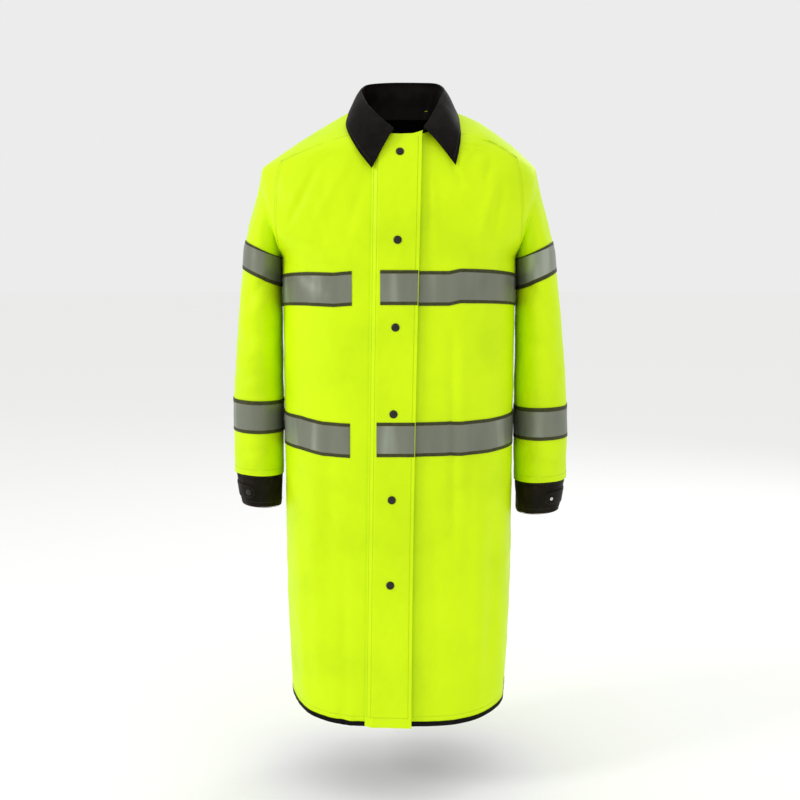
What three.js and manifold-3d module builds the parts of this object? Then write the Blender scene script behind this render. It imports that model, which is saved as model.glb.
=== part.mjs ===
// A knee-length reversible high-visibility raincoat, worn shape, front towards -Y.
// Units are mm. Heights are counted up from the front hem and moved at the end, so that
// z = 0 is the level of the neck point, where the wearer or a hanger holds the coat.
import * as THREE from 'three'
import { mergeVertices } from 'three/addons/utils/BufferGeometryUtils.js'
import Module from 'manifold-3d'

const wasm = await Module()
wasm.setup()

// ---- driving sizes ----
const neckLevel = 1160
const underarmZ = 885
const shoulderZ = 1043
const neckFrontZ = 1106
const neckSideZ = 1163
const neckBackZ = 1168
const chestHalfWidth = 224
const hemHalfWidth = 207
const chestDepth = 151
const skirtDepth = 150
const backDepth = 145
const shoulderHalfWidth = 268
const neckHalfWidth = 84
const hemSideRise = 15
const armholeHalfDepth = 82
const cloth = 1.2
const gap = 0.3
const tapeHeight = 63.5
const tapeThick = 0.8
const bindingHeight = 10
const chestTapeZ = 788
const waistTapeZ = 509
const flapSeamTop = -49
const flapSeamHem = -64
const flapEdgeTop = 43
const flapEdgeHem = 23
const rightFrontEdge = -42
const leftFrontEdge = -30
const snapTopZ = 1065
const snapPitch = 159
const foldTop = 190
const foldHem = 194
const skirtTopZ = 870
const flapBendZ = 600

// ---- a net of points with normals, read anywhere between its lines ----
class Net {
  constructor(columns, rows, pointAt, normalFix) {
    this.columns = columns
    this.rows = rows
    this.points = []
    for (let i = 0; i <= columns; i++) {
      this.points.push([])
      for (let j = 0; j <= rows; j++) this.points[i].push(pointAt(i, j))
    }
    this.normals = this.points.map((line, i) => line.map((_, j) => this.normalAt(i, j, normalFix)))
  }

  normalAt(i, j, normalFix) {
    const left = this.points[Math.max(i - 1, 0)][j]
    const right = this.points[Math.min(i + 1, this.columns)][j]
    const low = this.points[i][Math.max(j - 1, 0)]
    const high = this.points[i][Math.min(j + 1, this.rows)]
    const normal = right.clone().sub(left).cross(high.clone().sub(low)).normalize()
    if (normalFix) normalFix(normal, i, j)
    return normal.normalize()
  }

  blend(table, u, v) {
    const i = Math.min(Math.max(Math.floor(u), 0), this.columns - 1)
    const j = Math.min(Math.max(Math.floor(v), 0), this.rows - 1)
    const low = table[i][j].clone().lerp(table[i + 1][j], u - i)
    const high = table[i][j + 1].clone().lerp(table[i + 1][j + 1], u - i)
    return low.lerp(high, v - j)
  }

  at(u, v, offset = 0) {
    return this.blend(this.points, u, v).addScaledVector(this.blend(this.normals, u, v), offset)
  }
}

// ---- turning point grids into closed solids ----
function manifoldOf(positions, triangles) {
  const mesh = new wasm.Mesh({
    numProp: 3,
    vertProperties: new Float32Array(positions.flatMap((p) => [p.x, p.y, p.z])),
    triVerts: new Uint32Array(triangles.flat()),
  })
  return new wasm.Manifold(mesh)
}

function volumeOf(positions, triangles) {
  let total = 0
  for (const [a, b, c] of triangles) {
    total += positions[a].dot(positions[b].clone().cross(positions[c]))
  }
  return total
}

// inner and outer are grids [column][row]; a closed grid joins its last column to its first
function shell(inner, outer, closed = false) {
  const columns = outer.length
  const rows = outer[0].length
  const positions = [...outer.flat(), ...inner.flat()]
  const layer = columns * rows
  const id = (side, i, j) => side * layer + (i % columns) * rows + j
  const triangles = []
  const quad = (a, b, c, d) => triangles.push([a, b, c], [a, c, d])
  const cells = closed ? columns : columns - 1
  for (let i = 0; i < cells; i++) {
    for (let j = 0; j < rows - 1; j++) {
      quad(id(0, i, j), id(0, i + 1, j), id(0, i + 1, j + 1), id(0, i, j + 1))
      quad(id(1, i, j), id(1, i, j + 1), id(1, i + 1, j + 1), id(1, i + 1, j))
    }
    quad(id(1, i, 0), id(1, i + 1, 0), id(0, i + 1, 0), id(0, i, 0))
    quad(id(0, i, rows - 1), id(0, i + 1, rows - 1), id(1, i + 1, rows - 1), id(1, i, rows - 1))
  }
  if (!closed) {
    for (let j = 0; j < rows - 1; j++) {
      quad(id(0, 0, j), id(0, 0, j + 1), id(1, 0, j + 1), id(1, 0, j))
      quad(id(1, columns - 1, j), id(1, columns - 1, j + 1), id(0, columns - 1, j + 1), id(0, columns - 1, j))
    }
  }
  const faces = volumeOf(positions, triangles) < 0 ? triangles.map(([a, b, c]) => [a, c, b]) : triangles
  return manifoldOf(positions, faces)
}

// columnsAt(v) gives the same number of column places in every row
function sheet(net, columnsAt, rows, low, high, closed = false) {
  const grid = (offset) => {
    const byRow = rows.map((v) => columnsAt(v).map((u, k) => net.at(u, v, offset(k))))
    return byRow[0].map((_, k) => byRow.map((row) => row[k]))
  }
  const lowAt = typeof low === 'function' ? low : () => low
  const highAt = typeof high === 'function' ? high : () => high
  return shell(grid(lowAt), grid(highAt), closed)
}

function manifoldFromGeometry(geometry) {
  const bare = geometry.clone()
  for (const name of Object.keys(bare.attributes)) {
    if (name !== 'position') bare.deleteAttribute(name)
  }
  const merged = mergeVertices(bare, 1e-4)
  const mesh = new wasm.Mesh({
    numProp: 3,
    vertProperties: new Float32Array(merged.attributes.position.array),
    triVerts: new Uint32Array(merged.index.array),
  })
  return new wasm.Manifold(mesh)
}

function geometryFromManifold(solid) {
  const mesh = solid.getMesh()
  const geometry = new THREE.BufferGeometry()
  geometry.setAttribute('position', new THREE.BufferAttribute(new Float32Array(mesh.vertProperties), 3))
  geometry.setIndex(new THREE.BufferAttribute(new Uint32Array(mesh.triVerts), 1))
  geometry.translate(0, 0, -neckLevel)
  geometry.computeVertexNormals()
  return geometry
}

// ---- materials and the list of named pieces ----
const colours = {
  lime: 0xd2f200,
  black: 0x1b1816,
  tape: 0x9a9f92,
  snap: 0x2b2118,
  metal: 0xb8b8b4,
}
const group = new THREE.Group()

function addPiece(name, solid, colour, roughness = 0.6) {
  const material = new THREE.MeshStandardMaterial({ color: colours[colour], roughness, side: THREE.DoubleSide })
  const mesh = new THREE.Mesh(geometryFromManifold(solid), material)
  mesh.name = name
  group.add(mesh)
}

// ---- body nets: columns run across, rows run from the hem up to the neckline ----
const cellsPerSide = 7
const flatShare = 1 / cellsPerSide
const squareness = 2 / 2.5
const armholeLow = new THREE.Vector3(chestHalfWidth + 4.5, 0, underarmZ)
const armholeTop = new THREE.Vector3(shoulderHalfWidth, 0, shoulderZ)

function armholePoint(degrees) {
  const angle = THREE.MathUtils.degToRad(degrees)
  const point = armholeLow.clone().lerp(armholeTop, (1 - Math.cos(angle)) / 2)
  point.y = armholeHalfDepth * Math.sin(angle)
  return point
}

function level(z, halfWidth, depth) {
  return { midY: depth, midZ: z, side: new THREE.Vector3(halfWidth, 0, z) }
}

function widthAt(z) {
  return hemHalfWidth + (chestHalfWidth - hemHalfWidth) * Math.pow(z / underarmZ, 0.45)
}

function bodyRows(waistDepth, fullDepth, yokeDepths, neckZ, midLevels) {
  const [atLowArm, atMidArm, atHighArm, atShoulder, atHalfShoulder, atNeck] = yokeDepths
  const hem = level(0, hemHalfWidth, waistDepth)
  hem.side.z = hemSideRise
  const ridgeHalf = new THREE.Vector3(185, 0, 1103)
  const neckSide = new THREE.Vector3(neckHalfWidth, 0, neckSideZ)
  return [
    hem,
    level(250, widthAt(250), waistDepth),
    level(500, widthAt(500), waistDepth),
    level(700, widthAt(700), fullDepth),
    level(underarmZ, chestHalfWidth, fullDepth),
    { midY: atLowArm, midZ: midLevels[0], side: armholePoint(50) },
    { midY: atMidArm, midZ: midLevels[1], side: armholePoint(90) },
    { midY: atHighArm, midZ: midLevels[2], side: armholePoint(130) },
    { midY: atShoulder, midZ: midLevels[3], side: armholePoint(180) },
    { midY: atHalfShoulder, midZ: midLevels[4], side: ridgeHalf },
    { midY: atNeck, midZ: neckZ, side: neckSide },
  ]
}

const frontRows = bodyRows(skirtDepth, chestDepth, [150, 146, 136, 124, 115, 106], neckFrontZ,
  [918, 968, 1020, 1060, 1085])
const backRows = bodyRows(backDepth, backDepth + 2, [146, 144, 138, 126, 108, 80], neckBackZ,
  [925, 985, 1045, 1095, 1135])
const topRow = frontRows.length - 1

// facing is -1 for the front net and 1 for the back net
function bodyPoint(row, share, facing) {
  const t = Math.abs(share)
  const flatT = Math.max(0, (t - flatShare) / (1 - flatShare))
  const across = Math.pow(Math.sin((t * Math.PI) / 2), squareness)
  const deep = t >= 1 ? 0 : Math.pow(Math.cos((flatT * Math.PI) / 2), squareness)
  const x = Math.sign(share) * row.side.x * across
  const y = facing * (row.side.y + (row.midY - row.side.y) * deep)
  const z = row.midZ + (row.side.z - row.midZ) * t * t
  return new THREE.Vector3(x, y, z)
}

// at the side seams and along the shoulder ridge both nets share a normal with no y part
function flattenSideNormal(normal, i, j) {
  const onSide = i === 0 || i === 2 * cellsPerSide
  const meets = j <= 4 || j >= 8
  if (!onSide || !meets) return
  if (j >= 8) {
    const sideX = Math.sign(normal.x) || 1
    normal.set(sideX * 0.5, 0, 0.866)
  } else {
    normal.set(Math.sign(normal.x), 0, 0)
  }
}

const front = new Net(2 * cellsPerSide, topRow,
  (i, j) => bodyPoint(frontRows[j], i / cellsPerSide - 1, -1), flattenSideNormal)
const back = new Net(2 * cellsPerSide, topRow,
  (i, j) => bodyPoint(backRows[j], 1 - i / cellsPerSide, 1), flattenSideNormal)
const centre = cellsPerSide

// the row place of a height, true where rows are level
function rowOf(z, rows = frontRows) {
  for (let j = 0; j < topRow; j++) {
    if (z <= rows[j + 1].midZ) return j + (z - rows[j].midZ) / (rows[j + 1].midZ - rows[j].midZ)
  }
  return topRow
}

function bisect(low, high, isBelow) {
  for (let step = 0; step < 40; step++) {
    const middle = (low + high) / 2
    if (isBelow(middle)) low = middle
    else high = middle
  }
  return (low + high) / 2
}

// the column place on the front net where x has the wanted value
function columnOf(x, v) {
  return bisect(0, 2 * cellsPerSide, (u) => front.at(u, v).x < x)
}

// a point on the front or back net at a wanted x and z, lifted off it by offset
function frontPoint(x, z, offset) {
  const v = bisect(0, topRow, (row) => front.at(columnOf(x, row), row).z < z)
  return front.at(columnOf(x, v), v, offset)
}

function backPoint(x, z, offset) {
  const column = (row) => bisect(0, 2 * cellsPerSide, (u) => back.at(u, row).x > x)
  const v = bisect(0, topRow, (row) => back.at(column(row), row).z < z)
  return back.at(column(v), v, offset)
}

// ---- raglan seam: how far round, as a share of one side, each panel reaches ----
function raglanShare(v, neckShare) {
  if (v <= 4) return 1
  const atRow = (row) => 1 + (neckShare - 1) * Math.pow((row - 4) / (topRow - 4), 0.85)
  const low = Math.min(Math.floor(v), topRow - 1)
  return atRow(low) + (atRow(low + 1) - atRow(low)) * (v - low)
}
const frontNeckShare = 0.62
const backNeckShare = 0.6
const sideLength = 300
const seamShare = gap / 2 / sideLength
const raglanEase = 0.018

function rowList(low, high) {
  const list = [low]
  for (let j = Math.ceil(low + 1e-6); j < high - 1e-6; j++) list.push(j)
  list.push(high)
  return list
}

const bindingTopRow = rowOf(bindingHeight)
const clothStartRow = rowOf(bindingHeight + gap)

// columns of one front panel, from its centre edge out to the side seam or raglan seam
function frontColumns(side, edgeX) {
  return (v) => {
    const inner = Math.abs(columnOf(edgeX, v) - centre) / cellsPerSide
    const innerSigned = side * (columnOf(edgeX, v) - centre) / cellsPerSide
    const outer = raglanShare(v, frontNeckShare) - seamShare
    const shares = [innerSigned]
    for (let k = innerSigned < 0 ? 0 : 1; k < cellsPerSide; k++) {
      const lattice = k / cellsPerSide
      const scaled = inner + (outer - inner) * ((lattice - 0.1) / 0.9)
      shares.push(v <= 4 ? lattice : Math.max(scaled, innerSigned < 0 ? lattice * 0.5 : scaled))
    }
    shares.push(outer)
    return shares.map((share) => centre + side * share * cellsPerSide)
  }
}

const rightColumns = frontColumns(-1, rightFrontEdge)
const leftColumns = frontColumns(1, leftFrontEdge)

// ---- the part of each front that swings: below skirtTopZ and inside the fold line ----
function swingZone(side, shrink) {
  const lowZ = -60
  const shape = new THREE.Shape()
  const reach = side * 110
  shape.moveTo(side * (foldHem - shrink), lowZ)
  shape.lineTo(side * (foldTop - shrink), skirtTopZ - shrink)
  shape.lineTo(-reach, skirtTopZ - shrink)
  shape.lineTo(-reach, lowZ)
  shape.closePath()
  const block = new THREE.ExtrudeGeometry(shape, { depth: 400, bevelEnabled: false })
  block.rotateX(Math.PI / 2)
  return manifoldFromGeometry(block)
}

const swing = {
  right: { inside: swingZone(-1, gap / 2), outside: swingZone(-1, -gap / 2) },
  left: { inside: swingZone(1, gap / 2), outside: swingZone(1, -gap / 2) },
}

function addFront(side, columns, rows, low, high, names, colour) {
  const whole = sheet(front, columns, rows, low, high)
  addPiece(names[0], whole.subtract(swing[side].outside), colour)
  addPiece(names[1], whole.intersect(swing[side].inside), colour)
}

const fullRows = rowList(clothStartRow, topRow)
const liningLow = -gap - cloth
addFront('right', rightColumns, fullRows, 0, cloth, ['right_front_yoke', 'right_front_skirt'], 'lime')
addFront('left', leftColumns, fullRows, 0, cloth, ['left_front_yoke', 'left_front_skirt'], 'lime')
addFront('right', rightColumns, fullRows, liningLow, -gap, ['right_yoke_lining', 'right_skirt_lining'], 'black')
addFront('left', leftColumns, fullRows, liningLow, -gap, ['left_yoke_lining', 'left_skirt_lining'], 'black')

// ---- back panel ----
function backColumns(v) {
  const outer = raglanShare(v, backNeckShare) - seamShare
  const list = []
  for (let i = -cellsPerSide; i <= cellsPerSide; i++) list.push(centre + i * outer)
  return list
}
const backStart = rowOf(bindingHeight + gap, backRows)
addPiece('back_panel', sheet(back, backColumns, rowList(backStart, topRow), 0, cloth), 'lime')
addPiece('back_lining', sheet(back, backColumns, rowList(backStart, topRow), liningLow, -gap), 'black')

// ---- raglan shoulders: a front half and a back half joined along the ridge ----
function raglanColumns(side, neckShare) {
  return (v) => {
    const inner = raglanShare(v, neckShare) + raglanEase
    const list = []
    for (let k = 0; k <= 4; k++) list.push(centre + side * cellsPerSide * (inner + (1 - inner) * (k / 4)))
    return list
  }
}
const raglanStartRow = 4.55
const armholeRun = armholeTop.clone().sub(armholeLow).normalize()

// the plane of an armhole, its normal pointing away from the body
function armholePlane(side) {
  const normal = new THREE.Vector3(side * armholeRun.z, 0, -armholeRun.x)
  const point = new THREE.Vector3(side * armholeLow.x, 0, armholeLow.z)
  return { normal, distance: normal.dot(point) }
}

function keepOutward(solid, plane, shift) {
  return solid.trimByPlane(plane.normal.toArray(), plane.distance + shift)
}

function keepInward(solid, plane, shift) {
  return solid.trimByPlane(plane.normal.clone().negate().toArray(), -(plane.distance - shift))
}

for (const [name, side] of [['right', -1], ['left', 1]]) {
  const rows = rowList(raglanStartRow, topRow)
  const frontHalf = sheet(front, raglanColumns(side, frontNeckShare), rows, 0, cloth)
  const backHalf = sheet(back, raglanColumns(-side, backNeckShare), rows, 0, cloth)
  const whole = frontHalf.add(backHalf)
  addPiece(`${name}_raglan`, keepInward(whole, armholePlane(side), gap / 2), 'lime')
}

// ---- storm flap over the front opening ----
const flapRootLow = cloth + 0.7
const flapRise = 8.3
const flapRampWidth = 15
function flapSeamX(z) {
  return flapSeamHem + (flapSeamTop - flapSeamHem) * (z / neckFrontZ)
}
function flapEdgeX(z) {
  return flapEdgeHem + (flapEdgeTop - flapEdgeHem) * Math.pow(z / neckFrontZ, 1.5)
}
function heightOf(v) {
  return front.at(centre, v).z
}
function flapColumns(v) {
  const z = heightOf(v)
  const seam = columnOf(flapSeamX(z) + gap, v)
  const rampEnd = columnOf(flapSeamX(z) + flapRampWidth, v)
  const edge = columnOf(flapEdgeX(z), v)
  return [seam, rampEnd, centre, edge]
}
const flapLow = (k) => (k === 0 ? flapRootLow : flapRise)
const flapHigh = (k) => (k === 0 ? flapRootLow + cloth + 0.3 : flapRise + cloth + 0.3)
const flapOuter = flapRise + cloth + 0.3

// ---- snaps: a cap with post and socket through the flap, and a stud on the placket ----
const placketLow = cloth + gap
const placketHigh = placketLow + 1
const snapHoleRadius = 2.4
const snaps = []
for (let k = 0; k < 6; k++) {
  const z = snapTopZ - k * snapPitch
  const share = z / neckFrontZ
  snaps.push({ number: k + 1, z, x: -19 + 22 * Math.pow(share, 1.4) })
}

function turned(profile, segments, snap) {
  const points = profile.map(([radius, height]) => new THREE.Vector2(radius, height))
  const geometry = new THREE.LatheGeometry(points, segments)
  const v = rowOf(snap.z)
  const u = columnOf(snap.x, v)
  const base = front.at(u, v)
  const axis = front.at(u, v, 1).sub(base).normalize()
  const turn = new THREE.Quaternion().setFromUnitVectors(new THREE.Vector3(0, 1, 0), axis)
  geometry.applyQuaternion(turn)
  geometry.translate(base.x, base.y, base.z)
  return manifoldFromGeometry(geometry)
}

const socketLow = placketHigh + gap + 2.6
const socketHigh = flapRise - gap
const capLow = flapOuter + gap
const capProfile = [
  [0, socketLow + 0.9], [2.9, socketLow + 0.9], [2.9, socketLow], [5.2, socketLow], [5.2, socketHigh],
  [1.9, socketHigh], [1.9, capLow], [7.4, capLow], [7.4, capLow + 1.2], [5.4, capLow + 2.2], [0, capLow + 2.4],
]
const studBase = placketHigh + gap
const studProfile = [
  [0, studBase], [4.8, studBase], [4.8, studBase + 0.8], [2.4, studBase + 0.8], [2.4, studBase + 2.5],
  [0, studBase + 2.5],
]
const holeProfile = [[0, flapRise - 2], [snapHoleRadius, flapRise - 2], [snapHoleRadius, flapOuter + 2],
  [0, flapOuter + 2]]

let flap = sheet(front, flapColumns, rowList(0, topRow), flapLow, flapHigh)
for (const snap of snaps) flap = flap.subtract(turned(holeProfile, 12, snap))
const up = [0, 0, 1]
const down = [0, 0, -1]
addPiece('flap_upper', flap.trimByPlane(up, skirtTopZ + gap / 2), 'lime')
addPiece('flap_middle',
  flap.trimByPlane(down, -(skirtTopZ - gap / 2)).trimByPlane(up, flapBendZ + gap), 'lime')
addPiece('flap_lower', flap.trimByPlane(down, -(flapBendZ - gap)), 'lime')

for (const snap of snaps) {
  addPiece(`snap_cap_${snap.number}`, turned(capProfile, 12, snap), 'snap')
  addPiece(`snap_stud_${snap.number}`, turned(studProfile, 10, snap), 'metal')
}

// ---- placket: the reinforcing strip on the left front that carries the studs ----
const placketTopZ = 1094
function placketColumns(v) {
  const z = heightOf(v)
  return [columnOf(leftFrontEdge + 1.5, v), centre, columnOf(10 + 8 * (z / neckFrontZ), v)]
}
const placket = sheet(front, placketColumns, rowList(rowOf(bindingHeight + 3), rowOf(placketTopZ)),
  placketLow, placketHigh)
addPiece('placket_upper', placket.trimByPlane(up, skirtTopZ + gap / 2), 'lime')
addPiece('placket_lower', placket.trimByPlane(down, -(skirtTopZ - gap / 2)), 'lime')

// ---- reflective tape on the body ----
const tapeLow = cloth + gap
function addTapeBands(name, bottomZ, gapLeftX, gapRightX) {
  const rows = rowList(rowOf(bottomZ), rowOf(bottomZ + tapeHeight))
  const high = tapeLow + tapeThick
  const latticeColumns = (side, startX) => (v) => {
    const start = side * (columnOf(startX, v) - centre)
    const list = [start]
    for (let k = Math.ceil(start + 1e-6); k < cellsPerSide; k++) list.push(k)
    list.push(cellsPerSide * (1 - seamShare))
    return list.map((share) => centre + side * share)
  }
  const rightStrip = sheet(front, latticeColumns(-1, gapLeftX), rows, tapeLow, high)
  const leftStrip = sheet(front, latticeColumns(1, 20), rows, tapeLow, high)
  const backStrip = sheet(back, (v) => backColumns(Math.min(v, 4)), rows, tapeLow, high)
  addPiece(`${name}_tape_right_side`, rightStrip.subtract(swing.right.outside), 'tape')
  addPiece(`${name}_tape_right_front`, rightStrip.intersect(swing.right.inside), 'tape')
  addPiece(`${name}_tape_left_side`, leftStrip.subtract(swing.left.outside), 'tape')
  addPiece(`${name}_tape_left_front`, leftStrip.intersect(swing.left.inside), 'tape')
  addPiece(`${name}_tape_back`, backStrip, 'tape')
  const onFlap = (v) => [columnOf(gapRightX, v), centre, columnOf(flapEdgeX(heightOf(v)) - 1, v)]
  addPiece(`${name}_tape_flap`,
    sheet(front, onFlap, rows, flapOuter + gap, flapOuter + gap + tapeThick), 'tape')
}
addTapeBands('chest', chestTapeZ, -86, -34)
addTapeBands('waist', waistTapeZ, -90, -41)

// ---- black binding round the hem ----
const bindLow = liningLow - 0.4
const bindHigh = cloth + 0.4
const bindRows = [0, bindingTopRow]
const toSeam = (side, startX) => (v) => {
  const start = side * (columnOf(startX, v) - centre)
  const list = [start]
  for (let k = Math.ceil(start + 1e-6); k <= cellsPerSide; k++) list.push(k)
  return list.map((share) => centre + side * share)
}
const bindRight = sheet(front, toSeam(-1, rightFrontEdge), bindRows, bindLow, bindHigh)
const bindLeft = sheet(front, toSeam(1, 0), bindRows, bindLow, bindHigh)
const bindBack = sheet(back, () => Array.from({ length: 2 * cellsPerSide + 1 }, (_, i) => i),
  [0, rowOf(bindingHeight, backRows)], bindLow, bindHigh)
addPiece('hem_binding_right', bindRight.intersect(swing.right.inside), 'black')
addPiece('hem_binding_left', bindLeft.intersect(swing.left.inside), 'black')
addPiece('hem_binding_back', bindBack
  .add(bindRight.subtract(swing.right.outside))
  .add(bindLeft.subtract(swing.left.outside)), 'black')

// ---- collar: a stand up from the neckline and a fall folded down over it ----
// each place along the collar runs from the front end of one wing round to the other
const collarThick = 1.6
const collarRest = 6
const wingTipRest = 12.5
const standLift = 1.5
const place = (x, y, z) => new THREE.Vector3(x, y, z)

const rollLine = [
  place(-10, -124, 1120), place(-40, -100, 1143), place(-64, -60, 1168), place(-76, -8, 1192),
  place(-68, 42, 1209), place(-38, 68, 1215), place(0, 74, 1217), place(38, 68, 1215), place(70, 42, 1209),
  place(79, -8, 1192), place(74, -56, 1168), place(61, -92, 1143), place(46, -119, 1122),
]
const fallEdge = [
  frontPoint(-52, 1046, wingTipRest), frontPoint(-84, 1080, collarRest), frontPoint(-106, 1118, collarRest),
  place(-108, -8, 1157), backPoint(-97, 1142, collarRest), backPoint(-56, 1150, collarRest),
  backPoint(0, 1150, collarRest), backPoint(56, 1150, collarRest), backPoint(97, 1142, collarRest),
  place(110, -8, 1157), frontPoint(114, 1116, collarRest), frontPoint(113, 1082, collarRest),
  frontPoint(104, 1054, collarRest),
]
function neckPoint(net, u) {
  return net.at(u, topRow, cloth / 2).add(place(0, 0, standLift))
}
const frontFeet = [-9, -34, -60, -80]
const standFoot = [
  ...frontFeet.map((x) => neckPoint(front, columnOf(x, topRow))),
  neckPoint(back, 12), neckPoint(back, 9.4), neckPoint(back, 7), neckPoint(back, 4.6), neckPoint(back, 2),
  ...[80, 66, 56, 44].map((x) => neckPoint(front, columnOf(x, topRow))),
]

function collarBand(low, high, steps, inner, outer) {
  const net = new Net(low.length - 1, steps, (i, j) => low[i].clone().lerp(high[i], j / steps))
  const columns = Array.from({ length: low.length }, (_, i) => i)
  return sheet(net, () => columns, rowList(0, steps), inner, outer)
}
const standTop = rollLine.map((point) => point.clone().add(place(0, 0, -0.9)))
addPiece('collar_stand', collarBand(standFoot, standTop, 2, 0, collarThick), 'black')
const overBody = (net) => {
  const everyColumn = Array.from({ length: 2 * cellsPerSide + 1 }, (_, i) => i)
  return sheet(net, () => everyColumn, rowList(7, topRow), -8, 2 * cloth + gap)
}
const fall = collarBand(fallEdge, rollLine, 2, -0.4 - collarThick, -0.4)
addPiece('collar_fall', fall.subtract(overBody(front)).subtract(overBody(back)), 'black')

// ---- sleeves: rings named by their outer point, inner point and half depth ----
const elbowZ = 706
const ring = (outerX, outerZ, innerX, innerZ, halfDepth) => ({ outerX, outerZ, innerX, innerZ, halfDepth })
const sleeveRings = [
  ring(armholeTop.x, armholeTop.z, armholeLow.x, armholeLow.z, armholeHalfDepth),
  ring(286, 975, 229, 880, 82),
  ring(304, 907, 229.5, 873, 82),
  ring(309, 849, 229.5, 812, 81),
  ring(321, 712, 229, 700, 78),
  ring(327, 591, 228, 587, 73),
  ring(328, 528, 228, 524, 71),
  ring(328, 446, 229, 440, 62),
]
const cuffRings = [ring(326, 458, 231, 452, 60.6), ring(314, 384, 233, 378, 52)]
const ringCells = 16

function sleeveNet(rings, side) {
  return new Net(ringCells, rings.length - 1, (i, j) => {
    const { outerX, outerZ, innerX, innerZ, halfDepth } = rings[j]
    const angle = (side * i * 2 * Math.PI) / ringCells
    const reach = Math.cos(angle) / 2
    const x = side * ((outerX + innerX) / 2 + (outerX - innerX) * reach)
    const z = (outerZ + innerZ) / 2 + (outerZ - innerZ) * reach
    return new THREE.Vector3(x, halfDepth * Math.sin(angle), z)
  })
}

// the ends of a closed net take the normal that belongs to the seam column
function closeNet(net) {
  for (let j = 0; j <= net.rows; j++) {
    const before = net.points[net.columns - 1][j]
    const after = net.points[1][j]
    const low = net.points[0][Math.max(j - 1, 0)]
    const high = net.points[0][Math.min(j + 1, net.rows)]
    const normal = after.clone().sub(before).cross(high.clone().sub(low)).normalize()
    net.normals[0][j] = normal
    net.normals[net.columns][j] = normal.clone()
  }
  const outward = net.normals[0][0].dot(new THREE.Vector3(net.points[0][0].x, 0, 0))
  if (outward < 0) net.normals.forEach((line) => line.forEach((normal) => normal.negate()))
  return net
}

const ringColumns = () => Array.from({ length: ringCells }, (_, i) => i)

function tube(net, from, to, low, high) {
  return sheet(net, ringColumns, rowList(from, to), low, high, true)
}

// cuff tabs: places count round the cuff from its outer side, positive towards the front
const tabPlaces = [0, 1, 2, 3, 3.7]
const tabRows = [0.42, 0.8]
const tabSnapPlace = 3
const tabSnapRow = 0.61

function cuffPoint(net, side, place, v, offset) {
  return net.at((ringCells - side * place) % ringCells, v, offset)
}

function tabSolid(net, side, low, high) {
  const grid = (offset) =>
    tabPlaces.map((place) => tabRows.map((v) => cuffPoint(net, side, place, v, offset)))
  return shell(grid(low), grid(high))
}

function tabCap(net, side, base) {
  const foot = cuffPoint(net, side, tabSnapPlace, tabSnapRow, base)
  const axis = cuffPoint(net, side, tabSnapPlace, tabSnapRow, base + 1).sub(foot).normalize()
  const profile = [[0, 0.2], [6, 0.2], [6, 1.1], [4.4, 1.9], [0, 2.1]]
  const geometry = new THREE.LatheGeometry(profile.map(([radius, height]) => new THREE.Vector2(radius, height)), 10)
  geometry.applyQuaternion(new THREE.Quaternion().setFromUnitVectors(new THREE.Vector3(0, 1, 0), axis))
  geometry.translate(foot.x, foot.y, foot.z)
  return manifoldFromGeometry(geometry)
}

for (const [name, side] of [['right', -1], ['left', 1]]) {
  const net = closeNet(sleeveNet(sleeveRings, side))
  const cuffNet = closeNet(sleeveNet(cuffRings, side))
  const elbow = sleeveRings[4]
  const elbowRun = new THREE.Vector3(side * (elbow.outerX - elbow.innerX), 0, elbow.outerZ - elbow.innerZ)
  const elbowNormal = new THREE.Vector3(-elbowRun.z, 0, elbowRun.x).multiplyScalar(side).normalize()
  const elbowPoint = new THREE.Vector3(side * elbow.outerX, 0, elbow.outerZ)
  const elbowPlane = { normal: elbowNormal, distance: elbowNormal.dot(elbowPoint) }
  const whole = tube(net, 0, sleeveRings.length - 1, 0, cloth)
  const below = keepOutward(whole, armholePlane(side), gap / 2)
  addPiece(`${name}_sleeve_upper`, keepOutward(below, elbowPlane, gap / 2), 'lime')
  addPiece(`${name}_sleeve_lower`, keepInward(below, elbowPlane, gap / 2), 'lime')
  addPiece(`${name}_band_upper`, tube(net, 2, 3, tapeLow, tapeLow + tapeThick), 'tape')
  addPiece(`${name}_band_lower`, tube(net, 5, 6, tapeLow, tapeLow + tapeThick), 'tape')
  const cuffOuter = cloth + 0.2
  addPiece(`${name}_cuff`, tube(cuffNet, 0, 1, 0, cuffOuter), 'black')
  const tabLow = cuffOuter + gap
  addPiece(`${name}_cuff_tab`, tabSolid(cuffNet, side, tabLow, tabLow + cloth), 'black')
  addPiece(`${name}_tab_cap`, tabCap(cuffNet, side, tabLow + cloth + gap), 'snap')
}

export default group
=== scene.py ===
"""A knee-length reversible high-visibility raincoat, worn shape, front towards -Y.

Sizes are in mm and heights are counted up from the front hem. to_frame() turns them into the
frame's metres, where z = 0 is the neck point. A place on the body is a share of one side, from
0 at the middle to 1 at the side seam, and a row v, from 0 at the hem to 10 at the neckline.
"""
import math

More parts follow.
